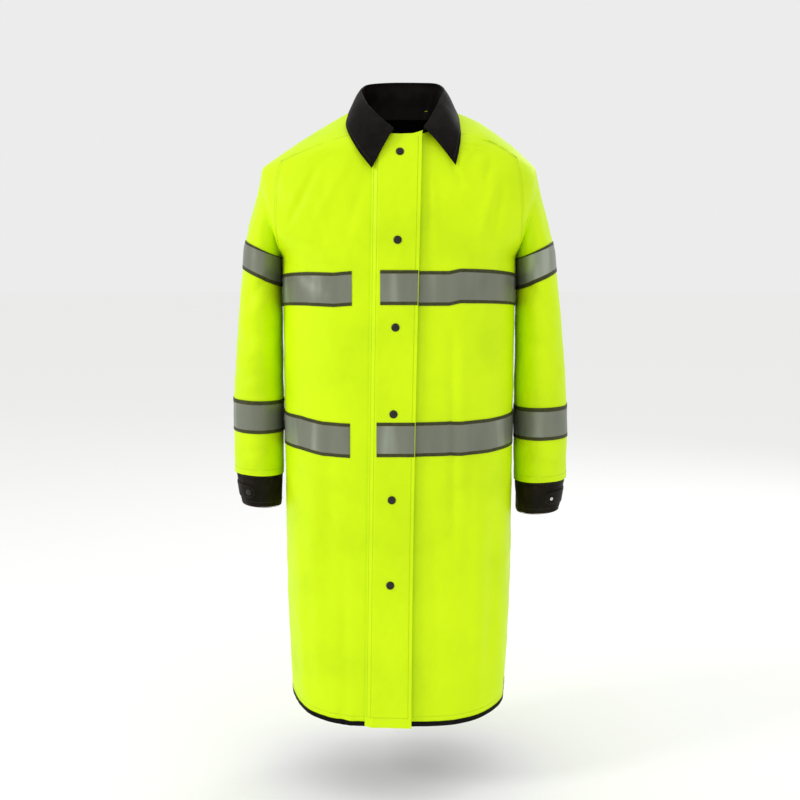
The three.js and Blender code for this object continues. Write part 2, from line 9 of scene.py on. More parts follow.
import bmesh
import bpy
import numpy as np
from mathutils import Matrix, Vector


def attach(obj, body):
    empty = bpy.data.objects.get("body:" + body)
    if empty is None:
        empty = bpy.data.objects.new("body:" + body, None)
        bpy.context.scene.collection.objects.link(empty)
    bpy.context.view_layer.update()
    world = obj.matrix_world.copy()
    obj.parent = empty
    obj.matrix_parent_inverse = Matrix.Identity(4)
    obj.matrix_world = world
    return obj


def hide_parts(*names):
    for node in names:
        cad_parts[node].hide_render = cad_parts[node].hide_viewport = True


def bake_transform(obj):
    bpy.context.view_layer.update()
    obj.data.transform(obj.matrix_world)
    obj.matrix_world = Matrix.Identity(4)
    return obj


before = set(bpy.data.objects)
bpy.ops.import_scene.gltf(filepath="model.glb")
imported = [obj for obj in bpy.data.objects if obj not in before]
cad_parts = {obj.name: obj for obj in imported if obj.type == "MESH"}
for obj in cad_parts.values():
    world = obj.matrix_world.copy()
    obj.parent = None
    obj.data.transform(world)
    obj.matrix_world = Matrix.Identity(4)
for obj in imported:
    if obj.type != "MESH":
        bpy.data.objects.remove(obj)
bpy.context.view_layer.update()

# ---- driving sizes, the same as the CAD model's ----
NECK_LEVEL = 1160.0
UNDERARM_Z = 885.0
CHEST_HALF = 224.0
HEM_HALF = 207.0
ARM_LOW = np.array([228.5, 0.0, 885.0])
ARM_HALF_DEPTH = 82.0
SQUARENESS = 0.8
FLAT_SHARE = 1 / 7
CLOTH = 1.2
LINING_LIFT = -0.9
PLACKET_LIFT = 2.5
TAPE_LIFT = 2.3
TAPE_THICK = 0.8
TAPE_HEIGHT = 63.5
TAPE_BORDER = 6.3
CHEST_TAPE_Z = 788.0
WAIST_TAPE_Z = 509.0
BINDING_HEIGHT = 10.0
FLAP_ROOT_LIFT = 3.4
FLAP_LIFT = 9.8
FLAP_RAMP = 15.0
FLAP_BEND_Z = 600.0
NECK_FRONT_Z = 1106.0
NECK_BACK_Z = 1168.0
RIGHT_EDGE_X = -42.0
LEFT_EDGE_X = -30.0
SNAP_TOP_Z = 1065.0
SNAP_PITCH = 159.0

# ---- where the hanging cloth differs from the plain CAD shape ----
HEM_SIDE_RISE = 34.0
ARM_TOP = np.array([263.0, 0.0, 1043.0])
LEFT_SHOULDER_LIFT = 14.0
FLAP_TOP_Z = 1098.0
STITCHES_TOP_Z = FLAP_TOP_Z - 6
PLACKET_TOP_Z = FLAP_TOP_Z - 10
SHELL_STITCH_Z = 19.0
RAGLAN_STITCH_LOW_Z = 905.0


def to_frame(points):
    """mm from the front hem into the frame's metres."""
    moved = np.array(points, float)
    moved[..., 2] -= NECK_LEVEL
    return moved / 1000


# ---- curves ----
def smooth_curve(knots, values):
    """A curve through the values that never overshoots them, read at any place."""
    knots = np.asarray(knots, float)
    values = np.asarray(values, float)
    if values.ndim == 1:
        values = values[:, None]
    step = np.diff(knots)[:, None]
    slope = np.diff(values, axis=0) / step
    tangent = np.zeros_like(values)
    tangent[0] = slope[0]
    tangent[-1] = slope[-1]
    if len(knots) > 2:
        same = slope[1:] * slope[:-1] > 0
        before = 2 * step[1:] + step[:-1]
        after = step[1:] + 2 * step[:-1]
        safe_low = np.where(same, slope[:-1], 1)
        safe_high = np.where(same, slope[1:], 1)
        tangent[1:-1] = np.where(same, (before + after) / (before / safe_low + after / safe_high), 0)

    def at(place):
        place = np.clip(np.asarray(place, float), knots[0], knots[-1])
        i = np.clip(np.searchsorted(knots, place, side="right") - 1, 0, len(knots) - 2)
        width = step[i]
        t = (place - knots[i])[..., None] / width
        start = (1 + 2 * t) * (1 - t) ** 2 * values[i] + t * (1 - t) ** 2 * width * tangent[i]
        end = t * t * (3 - 2 * t) * values[i + 1] + t * t * (t - 1) * width * tangent[i + 1]
        return start + end

    return at


def rounded_curve(points):
    """A Catmull-Rom curve through points, read at places 0 to len(points) - 1."""
    points = np.asarray(points, float)
    last = len(points) - 1

    def at(place):
        place = np.clip(np.asarray(place, float), 0, last)
        i = np.clip(np.floor(place).astype(int), 0, last - 1)
        t = (place - i)[..., None]
        p1 = points[i]
        p2 = points[i + 1]
        p0 = np.where((i > 0)[..., None], points[np.maximum(i - 1, 0)], 2 * p1 - p2)
        p3 = np.where((i < last - 1)[..., None], points[np.minimum(i + 2, last)], 2 * p2 - p1)
        return 0.5 * (2 * p1 + (p2 - p0) * t + (2 * p0 - 5 * p1 + 4 * p2 - p3) * t ** 2
                      + (3 * p1 - p0 - 3 * p2 + p3) * t ** 3)

    return at


def ease(low, high, value):
    t = np.clip((value - low) / (high - low), 0, 1)
    return t * t * (3 - 2 * t)


# ---- the body surface ----
ROWS = np.arange(11)
FRONT, BACK = -1, 1
mid_depth = {
    FRONT: smooth_curve(ROWS, [150, 150, 150, 151, 151, 150, 146, 136, 124, 115, 106]),
    BACK: smooth_curve(ROWS, [145, 145, 145, 147, 147, 146, 144, 138, 126, 108, 80]),
}
mid_height = {
    FRONT: smooth_curve(ROWS, [0, 250, 500, 700, 885, 918, 968, 1020, 1060, 1082, FLAP_TOP_Z]),
    BACK: smooth_curve(ROWS, [0, 250, 500, 700, 885, 925, 985, 1045, 1095, 1135, NECK_BACK_Z]),
}


def width_at(z):
    return HEM_HALF + (CHEST_HALF - HEM_HALF) * (z / UNDERARM_Z) ** 0.45


side_seam = smooth_curve(range(5), [
    [HEM_HALF, 0, HEM_SIDE_RISE],
    [width_at(250), 0, 250],
    [width_at(500), 0, 500],
    [width_at(700), 0, 700],
    [CHEST_HALF, 0, UNDERARM_Z],
])
arm_angle = smooth_curve(range(4, 9), [0, 50, 90, 130, 180])
shoulder_ridge = smooth_curve([8, 9, 10], [ARM_TOP, [183, 0, 1103], [84, 0, 1163]])


def armhole(degrees):
    angle = np.radians(degrees)[..., None]
    point = ARM_LOW + (ARM_TOP - ARM_LOW) * (1 - np.cos(angle)) / 2
    return point + np.array([0, 1, 0]) * ARM_HALF_DEPTH * np.sin(angle)


def side_point(v):
    v = np.asarray(v, float)
    at_arm = armhole(arm_angle(v)[..., 0])
    low = (v <= 4)[..., None]
    high = (v >= 8)[..., None]
    return np.where(low, side_seam(v), np.where(high, shoulder_ridge(v), at_arm))


def bare_body(share, v, facing):
    share, v = np.broadcast_arrays(np.clip(share, -1, 1), np.clip(v, 0, 10))
    t = np.abs(share)
    flat = np.maximum(0, (t - FLAT_SHARE) / (1 - FLAT_SHARE))
    across = np.sin(t * math.pi / 2) ** SQUARENESS
    deep = np.where(t >= 1, 0, np.maximum(np.cos(flat * math.pi / 2), 0) ** SQUARENESS)
    side = side_point(v)
    middle_y = mid_depth[facing](v)[..., 0]
    middle_z = mid_height[facing](v)[..., 0]
    x = np.sign(share) * side[..., 0] * across
    y = facing * (side[..., 1] + (middle_y - side[..., 1]) * deep)
    z = middle_z + (side[..., 2] - middle_z) * t ** 2
    hump = np.sin(np.clip((x - 80) / (ARM_TOP[0] - 80), 0, 1) * math.pi)
    z = z + LEFT_SHOULDER_LIFT * hump * ease(7, 8.6, v)
    return np.stack([x, y, z], axis=-1)


def unit(vectors):
    return vectors / np.maximum(np.linalg.norm(vectors, axis=-1, keepdims=True), 1e-9)


def body_normal(share, v, facing):
    step_share, step_v = 0.012, 0.06
    across = bare_body(share + step_share, v, facing) - bare_body(share - step_share, v, facing)
    up = bare_body(share, v + step_v, facing) - bare_body(share, v - step_v, facing)
    return unit(np.cross(across, up) * -facing)


def share_of_x(x, v):
    """The share at which the front surface has this x."""
    half = side_point(v)[..., 0]
    ratio = np.clip(np.abs(x) / half, 0, 1)
    return np.sign(x) * np.arcsin(ratio ** (1 / SQUARENESS)) * 2 / math.pi


fine_rows = np.linspace(0, 10, 1001)
front_heights = mid_height[FRONT](fine_rows)[:, 0]
back_heights = mid_height[BACK](fine_rows)[:, 0]


def row_of(z, facing=FRONT):
    return np.interp(z, front_heights if facing == FRONT else back_heights, fine_rows)


def seam_share(v, neck_share):
    """How far round a panel reaches: to the side seam low down, to the raglan seam above."""
    v = np.asarray(v, float)
    rise = np.clip((v - 4) / 6, 0, 1)
    return 1 + (neck_share - 1) * rise ** 0.7


NECK_SHARE = {FRONT: 0.45, BACK: 0.47}


# ---- soft folds, in mm outward, read from a place on the coat ----
def wander(points, size, seed):
    """A smooth, repeatable unevenness between about -1 and 1, with waves about size long."""
    total = 0
    for k in range(4):
        turn = seed * 1.7 + k * 2.39
        direction = np.array([math.cos(turn), math.sin(turn * 1.3), math.sin(turn)])
        total = total + np.sin(points @ direction * (6.28 / size) * (1 + 0.21 * k) + seed + 1.9 * k)
    return total / 2.6


def crease(points, start, end, width, height):
    """A ridge, or a valley where height is negative, along a line given by its (x, z) ends."""
    start, end = np.array(start, float), np.array(end, float)
    flat = points[..., [0, 2]] - start
    run = end - start
    along = np.clip(flat @ run / (run @ run), -0.2, 1.2)
    away = np.linalg.norm(flat - along[..., None] * run, axis=-1)
    taper = np.clip(4 * along * (1 - along), 0, 1) ** 0.5
    return height * taper * np.exp(-(away / width) ** 2)


# each fold line: its two (x, z) ends, its width and its height, valleys negative
FRONT_CREASES = [
    ((98, 745), (101, 320), 8, -3.6), ((114, 770), (118, 380), 11, 2.6),
    ((-132, 640), (-126, 250), 13, -2.6), ((-160, 470), (-150, 60), 15, 3.4),
    ((60, 420), (74, 40), 12, -2.8), ((150, 480), (146, 30), 15, 3.8),
    ((178, 420), (170, 60), 11, -3.4), ((-104, 330), (-98, 20), 11, -3.0),
    ((-186, 330), (-176, 30), 10, 2.2), ((-144, 1070), (-118, 1046), 12, -2.0),
    ((-172, 1066), (-132, 1062), 6, 2.2), ((-150, 1040), (-205, 930), 8, -3.0),
    ((-92, 1060), (-150, 940), 11, 2.2), ((-216, 872), (-128, 806), 10, -3.4),
    ((-212, 900), (-120, 868), 8, 2.2), ((-60, 1030), (-96, 910), 9, -1.8),
    ((-190, 760), (-120, 700), 10, -2.0), ((150, 1098), (136, 1050), 8, -3.8),
    ((124, 1092), (112, 1030), 8, 2.6), ((172, 1060), (158, 1012), 7, -2.6),
    ((192, 1014), (166, 900), 9, -4.0), ((176, 1010), (146, 900), 9, 2.8),
    ((92, 1062), (118, 1000), 7, -2.2), ((216, 880), (126, 792), 10, -3.6),
    ((214, 906), (140, 884), 8, 2.4), ((60, 1030), (66, 880), 8, 1.8),
    ((196, 700), (130, 640), 10, -2.4), ((60, 330), (110, 270), 11, -2.4),
    ((50, 180), (64, 120), 7, -2.0), ((-66, 272), (-20, 273), 3.5, -1.5),
    ((-12, 262), (22, 250), 3.5, -1.7), ((-62, 300), (-30, 288), 5, 1.2),
    ((-58, 640), (-18, 664), 7, 1.2), ((-112, 30), (-104, 4), 7, -3.5),
    ((-92, 26), (-86, 2), 7, 2.4),
]
BACK_CREASES = [
    ((-120, 700), (-132, 40), 18, 4.2), ((-60, 600), (-72, 20), 15, -4.0),
    ((30, 720), (22, 30), 18, 4.2), ((96, 640), (104, 30), 15, -4.2),
    ((160, 560), (158, 20), 16, 3.8), ((-178, 520), (-172, 30), 14, -3.4),
    ((-196, 900), (-70, 800), 13, -3.6), ((196, 900), (64, 812), 13, -3.6),
    ((-150, 1090), (-60, 960), 12, 2.8), ((150, 1090), (70, 955), 12, 2.8),
    ((-40, 1120), (40, 1118), 9, -2.2), ((-206, 850), (-110, 720), 12, 2.6),
    ((206, 850), (120, 715), 12, 2.6), ((-90, 500), (60, 470), 14, -2.0),
    ((-20, 940), (10, 640), 16, -2.4),
]
SLEEVE_CREASES = [
    ((232, 852), (292, 790), 8, -4.0), ((240, 806), (305, 742), 9, 3.2),
    ((232, 742), (312, 716), 8, -4.4), ((240, 716), (316, 668), 8, 3.2),
    ((234, 664), (318, 640), 7, -3.4), ((262, 640), (322, 596), 9, 2.6),
    ((238, 516), (306, 496), 6, -2.8), ((250, 498), (322, 476), 6, 2.4),
    ((236, 474), (300, 458), 5, -2.6), ((290, 512), (322, 470), 6, -2.0),
    ((262, 1010), (296, 900), 10, -2.6), ((246, 960), (258, 880), 9, -2.4),
]


def folds(points):
    x, y, z = points[..., 0], points[..., 1], points[..., 2]
    on_front = ease(25, -25, y)
    around = np.arctan2(y / 150, x / 215)
    loose = ease(840, 60, z)
    calm = 1 - 0.8 * on_front * ease(110, 60, np.abs(x))
    waves = 0.6 * np.sin(8 * around + 0.9 * np.sin(z / 190)) + 0.4 * np.sin(13 * around + 1.7 + np.sin(z / 120))
    on_body = ease(238, 224, np.abs(x))
    total = waves * loose * calm * on_body * (1.6 + 2.0 * (1 - on_front))
    total = total + 0.5 * wander(points, 70, 3) * (0.4 + 0.6 * calm) + 0.28 * wander(points, 31, 8)
    for start, end, width, height in FRONT_CREASES:
        total = total + on_front * on_body * crease(points, start, end, width, height)
    for start, end, width, height in BACK_CREASES:
        total = total + (1 - on_front) * on_body * crease(points, start, end, width, height)
    mirrored = np.stack([np.abs(x), y, z + 14 * (x > 0)], axis=-1)
    for k, (start, end, width, height) in enumerate(SLEEVE_CREASES):
        share = np.where(y < 0, 1.0, 0.8 if k % 2 else -0.5)
        total = total + (1 - on_body) * share * crease(mirrored, start, end, width, height)
    return total


def body(share, v, facing, lift=0.0):
    """Points on the coat's body, raised off the seam-line surface, and their outward normals."""
    points = bare_body(share, v, facing)
    normals = body_normal(share, v, facing)
    rise = np.asarray(lift) + folds(points)
    return points + normals * rise[..., None], normals


# ---- turning grids of points into pieces ----
def grid_faces(columns, rows):
    faces = []
    for i in range(columns - 1):
        for j in range(rows - 1):
            a = i * rows + j
            b = a + rows
            faces.append((a, b, b + 1, a + 1))
    return faces


def add_grid(bm, points, normals):
    """Adds a grid of points to the bmesh, its faces turned to agree with the normals."""
    verts = [bm.verts.new(p) for p in to_frame(points).reshape(-1, 3)]
    faces = grid_faces(*points.shape[:2])
    a, b, _, d = faces[len(faces) // 2]
    flat = points.reshape(-1, 3)
    facing = np.dot(np.cross(flat[b] - flat[a], flat[d] - flat[a]), normals.reshape(-1, 3)[a])
    return [bm.faces.new([verts[k] for k in (face if facing > 0 else face[::-1])]) for face in faces]


def start_mesh(grids):
    """One bmesh from (points, normals) grids, joined where they meet."""
    bm = bmesh.new()
    for points, normals in grids:
        add_grid(bm, points, normals)
    bmesh.ops.remove_doubles(bm, verts=bm.verts, dist=2e-5)
    return bm


def mark_edges(mesh, degrees=48):
    """Smooth shading with crisp edges where two faces meet sharply."""
    bm = bmesh.new()
    bm.from_mesh(mesh)
    for face in bm.faces:
        face.smooth = True
    for edge in bm.edges:
        edge.smooth = len(edge.link_faces) != 2 or edge.calc_face_angle(0) < math.radians(degrees)
    bm.to_mesh(mesh)
    bm.free()


def remember_place(mesh):
    """Keeps each point's place at rest, so that materials stay put when the coat moves."""
    layer = mesh.attributes.new("rest_place", "FLOAT_VECTOR", "POINT")
    places = np.zeros(len(mesh.vertices) * 3, np.float32)
    mesh.vertices.foreach_get("co", places)
    layer.data.foreach_set("vector", places)


def solidify(piece, thick, inner_material=0):
    """Gives a sheet its thickness, inwards, as real geometry."""
    solid = piece.modifiers.new("thickness", "SOLIDIFY")
    solid.thickness = thick / 1000
    solid.offset = -1
    solid.material_offset = inner_material
    depsgraph = bpy.context.evaluated_depsgraph_get()
    made = bpy.data.meshes.new_from_object(piece.evaluated_get(depsgraph))
    piece.modifiers.clear()
    piece.data = made
    made.name = piece.name


def finish_piece(name, bm, materials, thick=0.0):
    """A Blender object from the bmesh: thickened inwards, shaded and given its materials."""
    mesh = bpy.data.meshes.new(name)
    bm.to_mesh(mesh)
    bm.free()
    piece = bpy.data.objects.new(name, mesh)
    bpy.context.scene.collection.objects.link(piece)
    for material in materials:
        mesh.materials.append(material)
    if thick > 0:
        solidify(piece, thick, len(materials) - 1)
    mark_edges(piece.data)
    remember_place(piece.data)
    return piece


def rows_between(low_z, high_z, pitch, facing=FRONT):
    count = max(2, int(round((high_z - low_z) / pitch)) + 1)
    return row_of(np.linspace(low_z, high_z, count), facing)


def spread(low, high, count):
    """count places from low to high, where low and high hold one value for each row."""
    steps = np.linspace(0, 1, count)[:, None]
    return np.asarray(low) * (1 - steps) + np.asarray(high) * steps


# ---- placing pieces: each cloth and what is sewn to it go through one function, which only bakes the piece's transform ----
ARM_NORMAL = np.array([0.9701, 0, -0.2425])


def swing_with(piece):
    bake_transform(piece)


def lift_with_flap(piece):
    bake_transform(piece)


def shoulder_blend(piece, side):
    centre = (ARM_LOW + ARM_TOP) / 2 * np.array([side, 1, 1])
    outward = ARM_NORMAL * np.array([side, 1, 1])
    start, end = to_frame(np.array([centre - 2 * outward, centre + 16 * outward]))
    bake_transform(piece)


def elbow_blend(piece):
    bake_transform(piece)


# ---- materials ----
class Shading:
    """A material's nodes, started from the place at rest."""

    def __init__(self, name, roughness=0.5, **sockets):
        self.material = bpy.data.materials.new(name)
        self.material.use_nodes = True
        self.nodes = self.material.node_tree.nodes
        self.links = self.material.node_tree.links
        self.shader = self.nodes["Principled BSDF"]
        self.shader.inputs["Roughness"].default_value = roughness
        for socket, value in sockets.items():
            self.shader.inputs[socket.replace("_", " ")].default_value = value
        self.place = self.nodes.new("ShaderNodeAttribute")
        self.place.attribute_name = "rest_place"
        self.bump = None

    def stretched(self, scale):
        mapping = self.nodes.new("ShaderNodeMapping")
        mapping.inputs["Scale"].default_value = scale
        self.links.new(self.place.outputs["Vector"], mapping.inputs["Vector"])
        return mapping.outputs["Vector"]

    def noise(self, scale, detail=3.0, at=None):
        node = self.nodes.new("ShaderNodeTexNoise")
        node.inputs["Scale"].default_value = scale
        node.inputs["Detail"].default_value = detail
        self.links.new(at or self.place.outputs["Vector"], node.inputs["Vector"])
        return node.outputs["Fac"]

    def wave(self, scale, direction, distortion=0.4):
        node = self.nodes.new("ShaderNodeTexWave")
        node.wave_type = "BANDS"
        node.bands_direction = direction
        node.inputs["Scale"].default_value = scale
        node.inputs["Distortion"].default_value = distortion
        self.links.new(self.place.outputs["Vector"], node.inputs["Vector"])
        return node.outputs["Fac"]

    def ramp(self, factor, stops):
        node = self.nodes.new("ShaderNodeValToRGB")
        ramp = node.color_ramp
        for k, (position, colour) in enumerate(stops):
            element = ramp.elements[k] if k < 2 else ramp.elements.new(position)
            element.position = position
            element.color = (*colour, 1)
        self.links.new(factor, node.inputs["Fac"])
        return node.outputs["Color"]

    def paint(self, colour):
        self.links.new(colour, self.shader.inputs["Base Color"])

    def gloss(self, factor, low, high):
        node = self.nodes.new("ShaderNodeMapRange")
        node.inputs["To Min"].default_value = low
        node.inputs["To Max"].default_value = high
        self.links.new(factor, node.inputs["Value"])
        self.links.new(node.outputs["Result"], self.shader.inputs["Roughness"])

    def raise_by(self, height, strength, distance):
        node = self.nodes.new("ShaderNodeBump")
        node.inputs["Strength"].default_value = strength
        node.inputs["Distance"].default_value = distance
        self.links.new(height, node.inputs["Height"])
        if self.bump is not None:
            self.links.new(self.bump.outputs["Normal"], node.inputs["Normal"])
        self.links.new(node.outputs["Normal"], self.shader.inputs["Normal"])
        self.bump = node


def lime_fabric():
    """Coated polyester: a smooth face with a fine plain weave under it and soft handling marks."""
    look = Shading("lime_fabric", Specular_IOR_Level=0.16)
    look.paint(look.ramp(look.noise(9, 4), [
        (0.30, (0.585, 0.835, 0.0010)),
        (0.50, (0.635, 0.895, 0.0012)),
        (0.72, (0.665, 0.925, 0.0016)),
    ]))
    look.gloss(look.noise(22, 3), 0.40, 0.58)
    look.raise_by(look.noise(30, 5), 0.34, 0.0022)
    look.raise_by(look.wave(520, "X", 0.6), 0.05, 0.00015)
    look.raise_by(look.wave(520, "Z", 0.6), 0.05, 0.00015)
    return look.material


def black_fabric(name, dark, light):
    """The black reverse side: a tight nylon twill, worn a little to grey in random patches."""
    look = Shading(name, Specular_IOR_Level=0.06)
    look.paint(look.ramp(look.noise(60, 4), [(0.35, dark), (0.75, light)]))
    look.gloss(look.noise(35, 3), 0.42, 0.62)
    look.raise_by(look.noise(48, 4), 0.25, 0.0012)
    look.raise_by(look.wave(420, "DIAGONAL", 0.5), 0.22, 0.0003)
    return look.material


def tape_fabric():
    """Silver retro-reflective tape: grey glass beads, with lighter upright streaks painted into the colour as
    highlights where the band would catch light.
    """
    look = Shading("tape_silver", Metallic=0.25, Specular_IOR_Level=0.5)
    painted_highlight_streaks = look.noise(1.0, 2.5, look.stretched((17, 17, 2.2)))
    # the lightest stop is painted highlight: upright streaks of light caught in the tape's folds
    look.paint(look.ramp(painted_highlight_streaks, [
        (0.36, (0.150, 0.163, 0.120)),
        (0.56, (0.185, 0.200, 0.148)),
        (0.74, (0.36, 0.40, 0.32)),
    ]))
    look.gloss(look.noise(70, 3), 0.34, 0.52)
    look.raise_by(look.noise(55, 3), 0.15, 0.0008)
    look.raise_by(look.noise(1900, 2), 0.12, 0.0002)
    return look.material


def border_fabric():
    look = Shading("tape_border", Specular_IOR_Level=0.3)
    look.paint(look.ramp(look.noise(120, 3), [(0.3, (0.030, 0.031, 0.006)), (0.8, (0.060, 0.062, 0.012))]))
    look.gloss(look.noise(90, 2), 0.5, 0.7)
    look.raise_by(look.wave(600, "Z", 0.4), 0.15, 0.0002)
    return look.material


def thread(name, dark, light):
    look = Shading(name, Specular_IOR_Level=0.3)
    look.paint(look.ramp(look.noise(400, 2), [(0.3, dark), (0.7, light)]))
    look.gloss(look.noise(300, 2), 0.45, 0.65)
    look.raise_by(look.wave(1400, "DIAGONAL", 0.2), 0.3, 0.0002)
    return look.material


def snap_enamel():
    """Dark lacquered brass, rubbed to a warmer brown in places."""
    look = Shading("snap_enamel", Specular_IOR_Level=0.3, Coat_Weight=0.08, Coat_Roughness=0.2)
    look.paint(look.ramp(look.noise(260, 4), [(0.4, (0.008, 0.006, 0.003)), (0.8, (0.022, 0.015, 0.008))]))
    look.gloss(look.noise(420, 3), 0.28, 0.5)
    look.raise_by(look.noise(500, 3), 0.1, 0.0002)
    return look.material


def snap_metal():
    look = Shading("snap_metal", Metallic=1.0)
    look.paint(look.ramp(look.noise(300, 3), [(0.3, (0.50, 0.50, 0.48)), (0.7, (0.72, 0.72, 0.70))]))
    look.gloss(look.noise(500, 3), 0.18, 0.38)
    return look.material


def red_facing():
    look = Shading("red_facing", Specular_IOR_Level=0.3)
    look.paint(look.ramp(look.noise(150, 3), [(0.3, (0.075, 0.010, 0.008)), (0.7, (0.13, 0.020, 0.014))]))
    look.gloss(look.noise(120, 2), 0.55, 0.75)
    look.raise_by(look.wave(700, "DIAGONAL", 0.4), 0.15, 0.0002)
    return look.material


LIME = lime_fabric()
BLACK = black_fabric("black_reverse", (0.0039, 0.0030, 0.0025), (0.0084, 0.0067, 0.0056))
CUFF_BLACK = black_fabric("black_cuff", (0.0078, 0.0060, 0.0037), (0.0145, 0.0115, 0.0072))
SILVER = tape_fabric()
BORDER = border_fabric()
LIME_THREAD = thread("lime_thread", (0.33, 0.45, 0.004), (0.48, 0.64, 0.008))
DARK_THREAD = thread("dark_thread", (0.020, 0.020, 0.010), (0.055, 0.055, 0.030))
ENAMEL = snap_enamel()
METAL = snap_metal()
RED = red_facing()


def dress(piece, nodes):
    if nodes:
        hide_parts(*nodes)
    return piece


# ---- stitches: small rounded bars of thread laid along a line ----
def stitch_row(bm, points, normals, pitch=4.2, length=3.0, radius=0.42):
    """Adds stitches along a line of points in mm, sunk a little into the cloth."""
    gaps = np.linalg.norm(np.diff(points, axis=0), axis=1)
    run = np.concatenate([[0], np.cumsum(gaps)])
    count = int(run[-1] / pitch)
    if count < 1:
        return
    places = (np.arange(count) + 0.5) * run[-1] / count
    middles = np.stack([np.interp(places, run, points[:, k]) for k in range(3)], axis=1)
    ups = unit(np.stack([np.interp(places, run, normals[:, k]) for k in range(3)], axis=1))
    ahead = np.stack([np.interp(places + 0.5, run, points[:, k]) for k in range(3)], axis=1)
    behind = np.stack([np.interp(places - 0.5, run, points[:, k]) for k in range(3)], axis=1)
    along = unit(ahead - behind)
    aside = unit(np.cross(along, ups))
    for middle, up, forward, side in zip(middles, ups, along, aside):
        rings = []
        for share, size in ((-0.5, 0.35), (-0.32, 1.0), (0.32, 1.0), (0.5, 0.35)):
            centre = middle + forward * share * length
            ring = []
            for a, b in ((-1, -0.2), (-0.6, 0.75), (0.6, 0.75), (1, -0.2)):
                corner = centre + (side * a + up * b) * radius * size
                ring.append(bm.verts.new(to_frame(corner)))
            rings.append(ring)
        for low, high in zip(rings, rings[1:]):
            for k in range(3):
                bm.faces.new((low[k], low[k + 1], high[k + 1], high[k]))
        bm.faces.new(rings[0][::-1])
        bm.faces.new(rings[-1])


def stitches(name, lines, material, **size):
    bm = bmesh.new()
    for points, normals in lines:
        stitch_row(bm, points, normals, **size)
    bmesh.ops.recalc_face_normals(bm, faces=bm.faces)
    return finish_piece(name, bm, [material])


# ---- front and back panels ----
CLOTH_LOW_Z = BINDING_HEIGHT - 3
PANEL_PITCH = 7.0


def front_shares(side, edge_x, v, count):
    inner = share_of_x(edge_x, v)
    outer = side * seam_share(v, NECK_SHARE[FRONT])
    return spread(inner, outer, count)


def front_sheet(name, side, edge_x, lift, material, thick, count, pitch):
    v = rows_between(CLOTH_LOW_Z, FLAP_TOP_Z, pitch)
    shares = front_shares(side, edge_x, v, count)
    return finish_piece(name, start_mesh([body(shares, v, FRONT, lift)]), [material], thick)


def front_line(x_at, v, lift):
    """A line on the front that keeps to the x that x_at gives for each height."""
    heights = mid_height[FRONT](v)[:, 0]
    shares = share_of_x(x_at(heights), v)
    return body(shares, v, FRONT, lift)


def make_fronts():
    for name, side, edge_x in (("right", -1, RIGHT_EDGE_X), ("left", 1, LEFT_EDGE_X)):
        shell = front_sheet(f"{name}_front", side, edge_x, CLOTH, LIME, CLOTH, 64, PANEL_PITCH)
        swing_with(shell)
        dress(shell, [f"{name}_front_yoke", f"{name}_front_skirt"])
        lining = front_sheet(f"{name}_front_lining", side, edge_x, LINING_LIFT, BLACK, 0, 40, 12.0)
        swing_with(lining)
        dress(lining, [f"{name}_yoke_lining", f"{name}_skirt_lining"])
        hem_v = row_of(np.array([SHELL_STITCH_Z]))
        hem = body(front_shares(side, edge_x, hem_v, 120)[:, 0], hem_v, FRONT, CLOTH)
        upper_v = rows_between(RAGLAN_STITCH_LOW_Z, FLAP_TOP_Z, 6.0)
        seam = seam_share(upper_v, NECK_SHARE[FRONT])
        lines = [hem]
        for inset in (0.011, 0.032):
            lines.append(body(side * (seam - inset), upper_v, FRONT, CLOTH))
        side_v = rows_between(BINDING_HEIGHT + 4, UNDERARM_Z, 6.0)
        lines.append(body(side * np.full(len(side_v), 0.993), side_v, FRONT, CLOTH))
        sewn = stitches(f"{name}_front_stitches", lines, LIME_THREAD)
        swing_with(sewn)
        dress(sewn, [])


def make_back():
    v = rows_between(CLOTH_LOW_Z, NECK_BACK_Z, PANEL_PITCH, BACK)
    reach = seam_share(v, NECK_SHARE[BACK])
    shell = finish_piece("back_panel_cloth", start_mesh([body(spread(reach, -reach, 120), v, BACK, CLOTH)]),
                         [LIME], CLOTH)
    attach(shell, "torso")
    dress(shell, ["back_panel"])
    coarse = rows_between(CLOTH_LOW_Z, NECK_BACK_Z, 12.0, BACK)
    reach = seam_share(coarse, NECK_SHARE[BACK])
    lining = finish_piece("back_lining_cloth",
                          start_mesh([body(spread(reach, -reach, 80), coarse, BACK, LINING_LIFT)]), [BLACK])
    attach(lining, "torso")
    dress(lining, ["back_lining"])
    hem_v = row_of(np.array([SHELL_STITCH_Z]), BACK)
    lines = [body(np.linspace(0.985, -0.985, 200), hem_v, BACK, CLOTH)]
    upper_v = rows_between(RAGLAN_STITCH_LOW_Z, NECK_BACK_Z, 6.0, BACK)
    seam = seam_share(upper_v, NECK_SHARE[BACK])
    for side in (-1, 1):
        for inset in (0.011, 0.032):
            lines.append(body(side * (seam - inset), upper_v, BACK, CLOTH))
    sewn = stitches("back_stitches", lines, LIME_THREAD)
    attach(sewn, "torso")
    dress(sewn, [])


# ---- hem binding: a folded strip that grips both cloths ----
def binding(name, shares, facing):
    profile = [(-1.9, BINDING_HEIGHT), (-1.9, 1.5), (-1.2, 0.3), (-0.2, 0), (0.9, 0.3), (1.7, 1.4),
               (2.0, 5.0), (1.8, BINDING_HEIGHT)]
    v = row_of(np.array([z for _, z in profile]), facing)
    lifts = np.array([offset for offset, _ in profile])
    points, normals = body(np.asarray(shares)[:, None], v[None, :], facing, lifts[None, :])
    return finish_piece(name, start_mesh([(points, normals)]), [BLACK])


